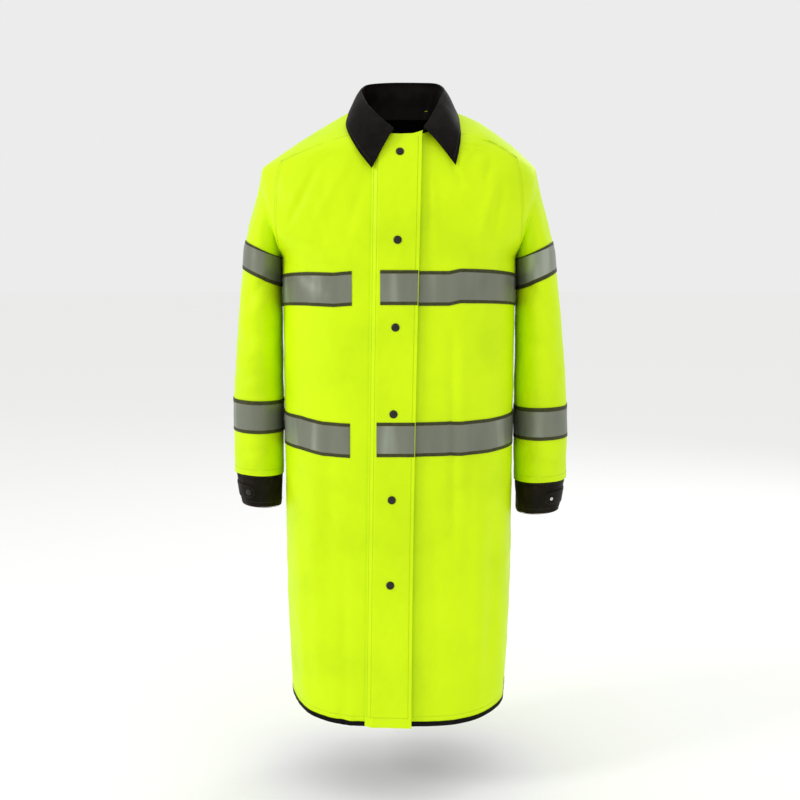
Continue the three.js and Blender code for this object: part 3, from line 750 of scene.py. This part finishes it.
def make_bindings():
    low = row_of(np.array([5.0]))
    for name, side, edge_x in (("right", -1, RIGHT_EDGE_X), ("left", 1, LEFT_EDGE_X)):
        inner = share_of_x(edge_x, low)[0]
        piece = binding(f"{name}_hem_binding", np.linspace(inner, side, 110), FRONT)
        swing_with(piece)
        dress(piece, [f"hem_binding_{name}"])
    piece = binding("back_hem_binding", np.linspace(1, -1, 200), BACK)
    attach(piece, "torso")
    dress(piece, ["hem_binding_back"])


# ---- storm flap ----
def flap_seam_x(z):
    return -64 + 15 * (z / NECK_FRONT_Z)


def flap_edge_x(z):
    return 23 + 20 * (z / NECK_FRONT_Z) ** 1.5


def flap_lift(z, width_share, x_from_seam):
    """The flap rises from its seam over the first few mm and stands off a little at its free hem."""
    ramp = ease(0, FLAP_RAMP, x_from_seam)
    flare = 3.0 * ease(0.35, 1.0, width_share) * ease(330, 20, z)
    lip = 0.7 * ease(0.93, 1.0, width_share)
    return FLAP_ROOT_LIFT + (FLAP_LIFT - FLAP_ROOT_LIFT) * ramp + flare + lip


def flap_points(shares_across, v):
    """Points on the flap's face; shares_across runs from 0 at its seam to 1 at its free edge."""
    z = mid_height[FRONT](v)[:, 0]
    start, end = flap_seam_x(z), flap_edge_x(z)
    across = np.asarray(shares_across)[:, None] * np.ones(len(z))
    x = start + (end - start) * across
    lift = flap_lift(z, across, x - start)
    return body(share_of_x(x, v), v, FRONT, lift)


def flap_rows(low_z, high_z):
    return rows_between(low_z, high_z, 5.0)


def make_flap():
    across = np.linspace(0, 1, 40) ** 1.15
    upright = flap_points(across, flap_rows(FLAP_BEND_Z, FLAP_TOP_Z))
    upper = finish_piece("flap_upper_cloth", start_mesh([upright]), [LIME], 1.5)
    swing_with(upper)
    dress(upper, ["flap_upper", "flap_middle"])
    hanging = flap_points(across, flap_rows(1.0, FLAP_BEND_Z))
    lower = finish_piece("flap_lower_cloth", start_mesh([hanging]), [LIME], 1.5)
    lift_with_flap(lower)
    dress(lower, ["flap_lower"])
    for name, low_z, high_z in (("upper", FLAP_BEND_Z, STITCHES_TOP_Z), ("lower", 20, FLAP_BEND_Z)):
        v = flap_rows(low_z, high_z)
        lines = []
        for share in (0.045, 0.125, 0.925):
            points, normals = flap_points([share], v)
            lines.append((points[0] + normals[0] * 0.2, normals[0]))
        if name == "lower":
            points, normals = flap_points(np.linspace(0.05, 0.93, 30), row_of(np.array([20.0])))
            lines.append((points[:, 0] + normals[:, 0] * 0.2, normals[:, 0]))
        sewn = stitches(f"flap_{name}_stitches", lines, LIME_THREAD)
        if name == "upper":
            swing_with(sewn)
        else:
            lift_with_flap(sewn)
        dress(sewn, [])


def make_placket():
    v = rows_between(BINDING_HEIGHT + 3, PLACKET_TOP_Z, 8.0)
    z = mid_height[FRONT](v)[:, 0]
    shares = spread(share_of_x(LEFT_EDGE_X + 1.5, v), share_of_x(10 + 8 * z / NECK_FRONT_Z, v), 10)
    piece = finish_piece("placket", start_mesh([body(shares, v, FRONT, PLACKET_LIFT)]), [LIME], 1.0)
    swing_with(piece)
    dress(piece, ["placket_upper", "placket_lower"])
    line = front_line(lambda z: 7 + 8 * z / NECK_FRONT_Z, v, PLACKET_LIFT)
    sewn = stitches("placket_stitches", [line], LIME_THREAD)
    swing_with(sewn)
    dress(sewn, [])


# ---- snaps ----
# (radius, height) pairs in mm, from the face down
CAP_PROFILE = [
    (0, 2.55), (2.6, 2.5), (4.6, 2.25), (5.6, 1.85), (6.1, 1.35), (6.5, 1.2),
    (7.2, 1.25), (7.55, 0.95), (7.6, 0.4), (7.3, 0.0), (0, 0.0),
]
SOCKET_PROFILE = [
    (1.9, 0.0), (5.0, 0.0), (5.2, -0.3), (5.2, -2.2),
    (4.8, -2.5), (3.1, -2.5), (2.9, -2.2), (2.9, -1.0),
]
STUD_PROFILE = [
    (0, 2.6), (1.6, 2.5), (2.4, 2.0), (2.2, 1.2), (2.5, 0.8),
    (4.6, 0.7), (4.9, 0.4), (4.8, 0.0), (0, 0.0),
]


def turned(bm, profile, foot, axis, segments=28):
    """Adds a turned shape: its profile is (radius, height) pairs along the axis, in mm."""
    axis = Vector(axis).normalized()
    across = axis.orthogonal().normalized()
    other = axis.cross(across)
    rings = []
    for radius, height in profile:
        centre = Vector(foot) + axis * height
        count = segments if radius > 0 else 1
        ring = []
        for k in range(count):
            angle = 2 * math.pi * k / segments
            spot = centre + (across * math.cos(angle) + other * math.sin(angle)) * radius
            ring.append(bm.verts.new(to_frame(np.array(spot))))
        rings.append(ring)
    for low, high in zip(rings, rings[1:]):
        for k in range(segments):
            corners = [low[k % len(low)], low[(k + 1) % len(low)]]
            corners += [high[(k + 1) % len(high)], high[k % len(high)]]
            corners = list(dict.fromkeys(corners))
            if len(corners) > 2:
                bm.faces.new(corners)


def finish_turned(name, bm, material):
    bmesh.ops.recalc_face_normals(bm, faces=bm.faces)
    return finish_piece(name, bm, [material])


def make_snaps():
    for k in range(6):
        z = SNAP_TOP_Z - SNAP_PITCH * k
        x = -19 + 22 * (z / NECK_FRONT_Z) ** 1.4
        v = row_of(np.array([z]))
        across = (x - flap_seam_x(z)) / (flap_edge_x(z) - flap_seam_x(z))
        face, normal = flap_points([across], v)
        foot, axis = face[0, 0], normal[0, 0]
        bm = bmesh.new()
        turned(bm, CAP_PROFILE, foot + axis * 0.15, axis)
        turned(bm, SOCKET_PROFILE, foot - axis * 1.7, axis, 20)
        cap = finish_turned(f"snap_{k + 1}_cap", bm, ENAMEL)
        if z > FLAP_BEND_Z:
            swing_with(cap)
        else:
            lift_with_flap(cap)
        dress(cap, [f"snap_cap_{k + 1}"])
        base, normal = body(share_of_x(x, v), v, FRONT, PLACKET_LIFT)
        bm = bmesh.new()
        turned(bm, STUD_PROFILE, base[0] + normal[0] * 0.1, normal[0], 20)
        stud = finish_turned(f"snap_{k + 1}_stud", bm, METAL)
        swing_with(stud)
        dress(stud, [f"snap_stud_{k + 1}"])


# ---- reflective tape: silver with a dark border along both edges ----
BORDER_SHARE = TAPE_BORDER / TAPE_HEIGHT
TAPE_ROWS = np.array([0, 0.03, BORDER_SHARE, 0.22, 0.36, 0.5, 0.64, 0.78, 1 - BORDER_SHARE, 0.97, 1])
# how far each band hangs off level: pairs of x and rise, in mm, from the right side seam to the left
TAPE_SWAY = {
    (CHEST_TAPE_Z, FRONT): [(-224, 5), (-170, 1), (-120, -3), (-86, -1), (20, -2), (92, -1), (112, 4),
                            (224, 6)],
    (WAIST_TAPE_Z, FRONT): [(-224, 9), (-182, 7), (-140, -1), (-90, -3), (20, -1), (97, 1), (99, 0),
                            (165, 3), (224, 9)],
    (CHEST_TAPE_Z, BACK): [(-224, 6), (-160, 1), (0, -2), (160, 1), (224, 5)],
    (WAIST_TAPE_Z, BACK): [(-224, 9), (-160, 1), (0, -2), (160, 1), (224, 9)],
}


def tape_heights(bottom_z):
    return bottom_z + TAPE_HEIGHT * TAPE_ROWS


def tape_grid(bottom_z, facing, shares):
    """A tape's points on the body, its shares given for each of the tape's rows."""
    heights = tape_heights(bottom_z)
    x = bare_body(shares, row_of(heights, facing), facing)[..., 0]
    places, sways = zip(*TAPE_SWAY[bottom_z, facing])
    return body(shares, row_of(heights + np.interp(x, places, sways), facing), facing, TAPE_LIFT)


def tape_strip(name, points, normals):
    bm = bmesh.new()
    middles = (TAPE_ROWS[:-1] + TAPE_ROWS[1:]) / 2
    for index, face in enumerate(add_grid(bm, points, normals)):
        middle = middles[index % len(middles)]
        face.material_index = 0 if BORDER_SHARE < middle < 1 - BORDER_SHARE else 1
    strip = finish_piece(name, bm, [SILVER, BORDER])
    solidify(strip, TAPE_THICK)
    return strip


def edge_lines(points, normals):
    """Lines for stitches just inside a tape's two edges."""
    lines = []
    for near, far in ((1, 2), (-2, -3)):
        line = points[:, near] * 0.55 + points[:, far] * 0.45
        lines.append((line, normals[:, near]))
    return lines


def add_tape(name, points, normals, nodes, place):
    tape = tape_strip(f"{name}_tape_strip", points, normals)
    place(tape)
    dress(tape, nodes)
    sewn = stitches(f"{name}_tape_stitches", edge_lines(points, normals), DARK_THREAD, radius=0.34)
    place(sewn)
    dress(sewn, [])


def flap_tape(bottom_z, start_x):
    """The band across the flap, from start_x to just short of the flap's free edge."""
    v = row_of(tape_heights(bottom_z))
    z = mid_height[FRONT](v)[:, 0]
    seam, edge = flap_seam_x(z), flap_edge_x(z)
    start = (start_x - seam) / (edge - seam)
    across = np.linspace(0, 1, 26)[:, None] * (0.985 - start) + start
    x = seam + (edge - seam) * across
    return body(share_of_x(x, v), v, FRONT, flap_lift(z, across, x - seam) + 1.1)


def make_body_tapes():
    bands = (("chest", CHEST_TAPE_Z, -86, -34), ("waist", WAIST_TAPE_Z, -90, -41))
    for band, bottom_z, right_x, flap_x in bands:
        v = row_of(tape_heights(bottom_z))
        reach = seam_share(v, 1)
        right = spread(share_of_x(right_x, v), -reach, 60)
        left = spread(share_of_x(20, v), reach, 76)
        back_reach = seam_share(row_of(tape_heights(bottom_z), BACK), 1)
        rear = spread(back_reach, -back_reach, 130)
        add_tape(f"right_{band}", *tape_grid(bottom_z, FRONT, right),
                 [f"{band}_tape_right_side", f"{band}_tape_right_front"],
                 lambda piece: swing_with(piece))
        add_tape(f"left_{band}", *tape_grid(bottom_z, FRONT, left),
                 [f"{band}_tape_left_side", f"{band}_tape_left_front"],
                 lambda piece: swing_with(piece))
        add_tape(f"back_{band}", *tape_grid(bottom_z, BACK, rear), [f"{band}_tape_back"],
                 lambda piece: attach(piece, "torso"))
        place = lift_with_flap
        if bottom_z > FLAP_BEND_Z:
            place = lambda piece: swing_with(piece)
        add_tape(f"flap_{band}", *flap_tape(bottom_z, flap_x), [f"{band}_tape_flap"], place)


# ---- sleeves ----
SLEEVE_RINGS = smooth_curve(range(8), [
    [263, 1043, 228.5, 885, 82],
    [280, 975, 229, 880, 82],
    [298, 907, 229.5, 873, 82],
    [305, 849, 229.5, 812, 81],
    [319, 712, 229, 700, 78],
    [327, 591, 228, 587, 73],
    [328, 528, 228, 524, 71],
    [328, 446, 229, 440, 62],
])
CUFF_RINGS = smooth_curve(range(2), [[326, 458, 231, 452, 60.6], [314, 384, 233, 378, 52]])
MEET_RING = 2.9
RIGHT_SLEEVE_RISE = 13.0
RIGHT_SLEEVE_TUCK = 6.0


def ring_points(rings, side, degrees, w):
    """Points round a sleeve; degrees count from its inner side, 180 on its outer side, front first."""
    outer_x, outer_z, inner_x, inner_z, depth = np.moveaxis(rings(w), -1, 0)
    if side < 0:
        settled = ease(1, 5, w) if rings is SLEEVE_RINGS else 1.0
        outer_x = outer_x - RIGHT_SLEEVE_TUCK * settled
        outer_z = outer_z + RIGHT_SLEEVE_RISE * settled
        inner_z = inner_z + RIGHT_SLEEVE_RISE * settled
    angle = np.radians(degrees)
    reach = -np.cos(angle) / 2
    x = side * ((outer_x + inner_x) / 2 + (outer_x - inner_x) * reach)
    z = (outer_z + inner_z) / 2 + (outer_z - inner_z) * reach
    return np.stack([x, -depth * np.sin(angle), z], axis=-1)


def ring_surface(rings, side, degrees, w, lift=0.0, fold_share=1.0):
    degrees, w = np.broadcast_arrays(np.asarray(degrees, float), np.asarray(w, float))
    points = ring_points(rings, side, degrees, w)
    round_way = ring_points(rings, side, degrees + 1.5, w) - ring_points(rings, side, degrees - 1.5, w)
    down = ring_points(rings, side, degrees, w + 0.03) - ring_points(rings, side, degrees, w - 0.03)
    normals = unit(np.cross(round_way, down))
    middle = (ring_points(rings, side, degrees, w) + ring_points(rings, side, degrees + 180, w)) / 2
    inward = np.sum(normals * (points - middle), axis=-1, keepdims=True) < 0
    normals = np.where(inward, -normals, normals)
    rise = np.asarray(lift) + fold_share * folds(points)
    return points + normals * rise[..., None], normals


HALF_TURNS = 44


def shoulder_and_sleeve(name, side):
    """The raglan shoulder and the sleeve down to the upper band, one seamless cloth."""
    angles = np.linspace(0, 180, HALF_TURNS + 1)
    fine_angles = arm_angle(fine_rows)[:, 0]
    within = (fine_rows >= 4) & (fine_rows <= 8)
    arm_rows = np.interp(angles, fine_angles[within], fine_rows[within])
    v = np.concatenate([arm_rows, np.linspace(8, 10, 24)[1:]])
    grids = []
    for facing in (FRONT, BACK):
        inner = np.minimum(seam_share(v, NECK_SHARE[facing]), 1)
        shares = side * spread(inner, np.ones(len(v)), 16)
        grids.append((bare_body(shares, v, facing), body_normal(shares * 0.999, v, facing)))
    turns = np.linspace(0, 360, 2 * HALF_TURNS + 1)[:-1]
    w = np.linspace(0, MEET_RING, 34)
    tube = ring_points(SLEEVE_RINGS, side, turns[:, None], w[None, :])
    outward = ring_surface(SLEEVE_RINGS, side, turns[:, None], w[None, :], 0, 0)[1]
    closed_tube = np.concatenate([tube, tube[:1]])
    closed_normals = np.concatenate([outward, outward[:1]])
    grids.append((closed_tube, closed_normals))
    bm = start_mesh(grids)
    bmesh.ops.dissolve_degenerate(bm, dist=1e-6, edges=bm.edges)
    bm.verts.ensure_lookup_table()
    plane_point = to_frame(ARM_LOW * np.array([side, 1, 1]))
    outward = ARM_NORMAL * np.array([side, 1, 1])
    free = [vert for vert in bm.verts if not vert.is_boundary]
    for reach, rounds in ((0.060, 7), (0.040, 7), (0.020, 6)):
        near = [vert for vert in free if abs(np.dot(np.array(vert.co) - plane_point, outward)) < reach]
        for _ in range(rounds):
            bmesh.ops.smooth_vert(bm, verts=near, factor=0.5, use_axis_x=True, use_axis_y=True, use_axis_z=True)
    bm.normal_update()
    places = np.array([vert.co for vert in bm.verts]) * 1000 + np.array([0, 0, NECK_LEVEL])
    rises = CLOTH + folds(places)
    for vert, rise in zip(bm.verts, rises):
        vert.co += vert.normal * (rise / 1000)
    piece = finish_piece(f"{name}_shoulder_sleeve", bm, [LIME, BLACK], CLOTH)
    shoulder_blend(piece, side)
    dress(piece, [f"{name}_raglan", f"{name}_sleeve_upper"])


def sleeve_tape(side, low_ring):
    """A band round the sleeve, one ring high, its lower edge at low_ring."""
    turns = np.linspace(0, 360, 81)
    return ring_surface(SLEEVE_RINGS, side, turns[:, None], (low_ring - TAPE_ROWS)[None, :], TAPE_LIFT + 0.1)


def make_sleeve(name, side):
    shoulder_and_sleeve(name, side)
    turns = np.linspace(0, 360, 81)
    w = np.concatenate([np.linspace(MEET_RING, 6.85, 60), [6.93, 7.0]])
    points, normals = ring_surface(SLEEVE_RINGS, side, turns[:, None], w[None, :], CLOTH)
    lower = finish_piece(f"{name}_forearm_sleeve", start_mesh([(points, normals)]), [LIME, BLACK], CLOTH)
    elbow_blend(lower)
    dress(lower, [f"{name}_sleeve_lower"])
    add_tape(f"{name}_upper_sleeve", *sleeve_tape(side, 3.0), [f"{name}_band_upper"],
             lambda piece: shoulder_blend(piece, side))
    add_tape(f"{name}_lower_sleeve", *sleeve_tape(side, 6.0), [f"{name}_band_lower"],
             lambda piece: elbow_blend(piece))
    hem = ring_surface(SLEEVE_RINGS, side, np.linspace(0, 360, 90), np.full(90, 6.86), CLOTH)
    sewn = stitches(f"{name}_sleeve_stitches", [hem], LIME_THREAD)
    elbow_blend(sewn)
    dress(sewn, [])


def make_cuff(name, side):
    turns = np.linspace(0, 360, 81)
    w = np.array([0, 0.1, 0.25, 0.4, 0.55, 0.7, 0.82, 0.9, 0.955, 0.99, 1.0, 1.0])
    lift = np.array([1.3, 1.4, 1.6, 1.7, 1.7, 1.6, 1.5, 1.7, 1.6, 1.1, 0.3, -0.8])
    ease_in = wander(ring_points(CUFF_RINGS, side, turns[:, None], w[None, :]), 46, 5) * 0.8
    points, normals = ring_surface(CUFF_RINGS, side, turns[:, None], w[None, :], lift[None, :] + ease_in, 0.3)
    cuff = finish_piece(f"{name}_cuff_band", start_mesh([(points, normals)]), [CUFF_BLACK], 1.2)
    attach(cuff, f"{name}_forearm")
    dress(cuff, [f"{name}_cuff"])
    lines = []
    for row in (0.87, 0.2):
        lines.append(ring_surface(CUFF_RINGS, side, np.linspace(0, 360, 90), np.full(90, row), 2.3, 0.3))
    sewn = stitches(f"{name}_cuff_stitches", lines, DARK_THREAD, radius=0.34)
    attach(sewn, f"{name}_forearm")
    dress(sewn, [])
    edge_w = np.array([0.992, 1.0])
    edge_lift = np.array([0.6, -0.9])
    points, normals = ring_surface(CUFF_RINGS, side, turns[:, None], edge_w[None, :], edge_lift, 0.3)
    points = points - np.array([0, 0, 1.6])
    edge = finish_piece(f"{name}_cuff_edge", start_mesh([(points, normals)]), [RED], 0.8)
    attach(edge, f"{name}_forearm")
    dress(edge, [])
    make_tab(name, side)


CELL = 22.5


def make_tab(name, side):
    """The cuff's closing tab, from the outer side towards the front, with a rounded end and its snap."""
    body_name = f"{name}_tab"
    places = np.linspace(0, 3.7, 26)
    half = 0.19 * np.sqrt(np.clip((3.7 - places) / 0.42, 0.12, 1))
    across = np.array([-1, -0.94, -0.5, 0, 0.5, 0.94, 1])
    w = 0.61 + half[:, None] * across
    crown = 3.6 - 0.5 * np.abs(across[None, :]) ** 6 + 0 * places[:, None]
    degrees = 180 - places[:, None] * CELL + 0 * w
    points, normals = ring_surface(CUFF_RINGS, side, degrees, w, crown + 0.3, 0.3)
    tab = finish_piece(f"{name}_cuff_tab_cloth", start_mesh([(points, normals)]), [CUFF_BLACK], 1.2)
    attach(tab, body_name)
    dress(tab, [f"{name}_cuff_tab"])
    lines = []
    for share in (-0.72, 0.72):
        line_w = 0.61 + half * share
        lines.append(ring_surface(CUFF_RINGS, side, 180 - places * CELL, line_w, 4.0, 0.3))
    sewn = stitches(f"{name}_tab_stitches", lines, DARK_THREAD, radius=0.32)
    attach(sewn, body_name)
    dress(sewn, [])
    foot, axis = ring_surface(CUFF_RINGS, side, 180 - 3 * CELL, np.array(0.61), 4.0, 0.3)
    bm = bmesh.new()
    size = 0.45 if side > 0 else 0.8
    small = [(radius * size, height * 0.75) for radius, height in CAP_PROFILE]
    turned(bm, small, foot, axis)
    cap = finish_turned(f"{name}_cuff_snap", bm, METAL if side > 0 else ENAMEL)
    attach(cap, body_name)
    dress(cap, [f"{name}_tab_cap"])


# ---- collar: one cloth up from the neckline, over the roll and down to its pointed edge ----
ROLL_LINE = [
    (-10, -124, 1110), (-40, -100, 1137), (-64, -60, 1168), (-73, -8, 1194), (-65, 42, 1212),
    (-38, 68, 1220), (0, 74, 1222), (40, 68, 1221), (74, 42, 1215), (86, -8, 1197),
    (78, -56, 1170), (62, -92, 1138), (46, -119, 1113),
]


def on_body(x, z, facing, lift):
    """A point on the body at a wanted x and z, lifted off it."""
    low, high = 0.0, 10.0
    for _ in range(40):
        v = (low + high) / 2
        point = bare_body(share_of_x(x, np.array([v])), np.array([v]), facing)[0]
        low, high = (v, high) if point[2] < z else (low, v)
    points, normals = body(share_of_x(x, np.array([v])), np.array([v]), facing, 0)
    return points[0] + normals[0] * lift


def neck_foot(x, facing):
    v = np.array([10.0])
    points, _ = body(share_of_x(x, v), v, facing, -1.8)
    return points[0] + np.array([0, 0, 1.5])


def make_collar():
    fall_edge = [
        on_body(-50, 1034, FRONT, 12.5), on_body(-78, 1073, FRONT, 7.5), on_body(-97, 1113, FRONT, 7.5),
        np.array([-95, -8, 1157]), on_body(-88, 1142, BACK, 7.5), on_body(-56, 1150, BACK, 7.5),
        on_body(0, 1150, BACK, 7.5), on_body(56, 1150, BACK, 7.5), on_body(97, 1142, BACK, 7.5),
        np.array([110, -8, 1157]), on_body(114, 1116, FRONT, 7.5), on_body(113, 1082, FRONT, 7.5),
        on_body(104, 1042, FRONT, 7.5),
    ]
    feet = [neck_foot(x, FRONT) for x in (-9, -34, -60, -80)]
    feet += [neck_foot(x, BACK) for x in (-66, -36, 0, 36, 66)]
    feet += [neck_foot(x, FRONT) for x in (80, 66, 56, 44)]
    foot_at, roll_at, edge_at = rounded_curve(feet), rounded_curve(ROLL_LINE), rounded_curve(fall_edge)
    places = np.concatenate([np.linspace(0, 0.25, 4), np.linspace(0.5, 11.5, 90), np.linspace(11.75, 12, 4)])
    foot, roll, edge = foot_at(places), roll_at(places), edge_at(places)
    out = roll - np.array([0, -20, 0])
    out[:, 2] = 0
    out = unit(out)
    up = np.array([0, 0, 1.0])
    tucked = foot - out * 5.0 - up * 18
    rows = [tucked, foot - out * 3.2 - up * 6, foot - out * 2.4]
    for share in (0.2, 0.4, 0.6, 0.8, 0.93):
        rows.append(foot + (roll - foot) * share - out * 1.5 * math.sin(share * math.pi))
    for degrees in (150, 115, 80, 45, 15):
        angle = math.radians(degrees)
        rows.append(roll + (out * (math.cos(angle) + 0.1) + up * math.sin(angle)) * 2.4)
    drop_from = rows[-1]
    for share in (0.06, 0.14, 0.24, 0.36, 0.48, 0.6, 0.72, 0.83, 0.92, 0.97, 1.0):
        bulge = 3.4 * math.sin(share ** 0.8 * math.pi) * (1 - 0.35 * share)
        rows.append(drop_from + (edge - drop_from) * share + (out * 0.8 + up * 0.45) * bulge)
    points = np.stack(rows, axis=1)
    points = points + out[:, None, :] * (0.7 * wander(points, 58, 2))[..., None]
    across = np.gradient(points, axis=0)
    down = np.gradient(points, axis=1)
    normals = unit(np.cross(down, across))
    outwards = np.sum(normals[:, -4] * out, axis=-1).mean()
    normals = normals if outwards > 0 else -normals
    collar = finish_piece("collar", start_mesh([(points, normals)]), [BLACK], 1.7)
    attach(collar, "torso")
    dress(collar, ["collar_stand", "collar_fall"])
    inset = 0.9
    sewn_line = points[2:-2, -3] * inset + points[2:-2, -4] * (1 - inset)
    lines = [(sewn_line + normals[2:-2, -3] * 0.1, normals[2:-2, -3])]
    sewn = stitches("collar_stitches", lines, DARK_THREAD, radius=0.34)
    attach(sewn, "torso")
    dress(sewn, [])


# ---- floor, light and camera ----
FLOOR_Z = -1.30
FLOOR_RADIUS = 40.0


def make_studio():
    pale = bpy.data.materials.new("pale_floor")
    pale.use_nodes = True
    shader = pale.node_tree.nodes["Principled BSDF"]
    shader.inputs["Base Color"].default_value = (0.985, 0.985, 0.98, 1)
    shader.inputs["Roughness"].default_value = 1.0
    shader.inputs["Specular IOR Level"].default_value = 0.0
    turns = 64
    verts, faces = [(0, 0, FLOOR_Z)], []
    for k in range(turns):
        angle = 2 * math.pi * k / turns
        verts.append((FLOOR_RADIUS * math.cos(angle), FLOOR_RADIUS * math.sin(angle), FLOOR_Z))
        faces.append((0, 1 + k, 1 + (k + 1) % turns))
    mesh = bpy.data.meshes.new("studio_floor")
    mesh.from_pydata(verts, [], faces)
    mesh.materials.append(pale)
    floor = bpy.data.objects.new("studio_floor", mesh)
    bpy.context.scene.collection.objects.link(floor)
    world = bpy.data.worlds.new("studio_air")
    world.use_nodes = True
    world.node_tree.nodes["Background"].inputs["Color"].default_value = (1, 1, 1, 1)
    world.node_tree.nodes["Background"].inputs["Strength"].default_value = 0.84
    bpy.context.scene.world = world
    for name, place, size, power in (
        ("key", (-3.0, -1.5, 1.0), 0.9, 34),
        ("fill", (2.3, -2.3, 0.2), 1.8, 4),
        ("top", (0.3, -0.2, 2.2), 1.6, 6),
        ("back", (1.9, 2.4, 1.3), 1.4, 20),
    ):
        lamp = bpy.data.lights.new(name, "AREA")
        lamp.energy = power
        lamp.size = size
        holder = bpy.data.objects.new(name, lamp)
        holder.location = place
        aim = Vector((0, 0, -0.45)) - Vector(place)
        holder.rotation_euler = aim.to_track_quat("-Z", "Y").to_euler()
        bpy.context.scene.collection.objects.link(holder)


def make_camera():
    lens = bpy.data.cameras.new("camera")
    lens.lens = 52.6
    lens.sensor_width = 36
    lens.shift_y = -0.085
    holder = bpy.data.objects.new("camera", lens)
    holder.location = (0.002, -2.287, -0.297)
    holder.rotation_euler = (math.radians(90 - 3.34), 0, 0)
    bpy.context.scene.collection.objects.link(holder)
    bpy.context.scene.camera = holder


make_camera()
make_studio()
make_fronts()
make_back()
make_bindings()
make_flap()
make_placket()
make_snaps()
make_body_tapes()
for arm, arm_side in (("right", -1), ("left", 1)):
    make_sleeve(arm, arm_side)
    make_cuff(arm, arm_side)
make_collar()
bpy.context.scene.view_settings.view_transform = "Standard"
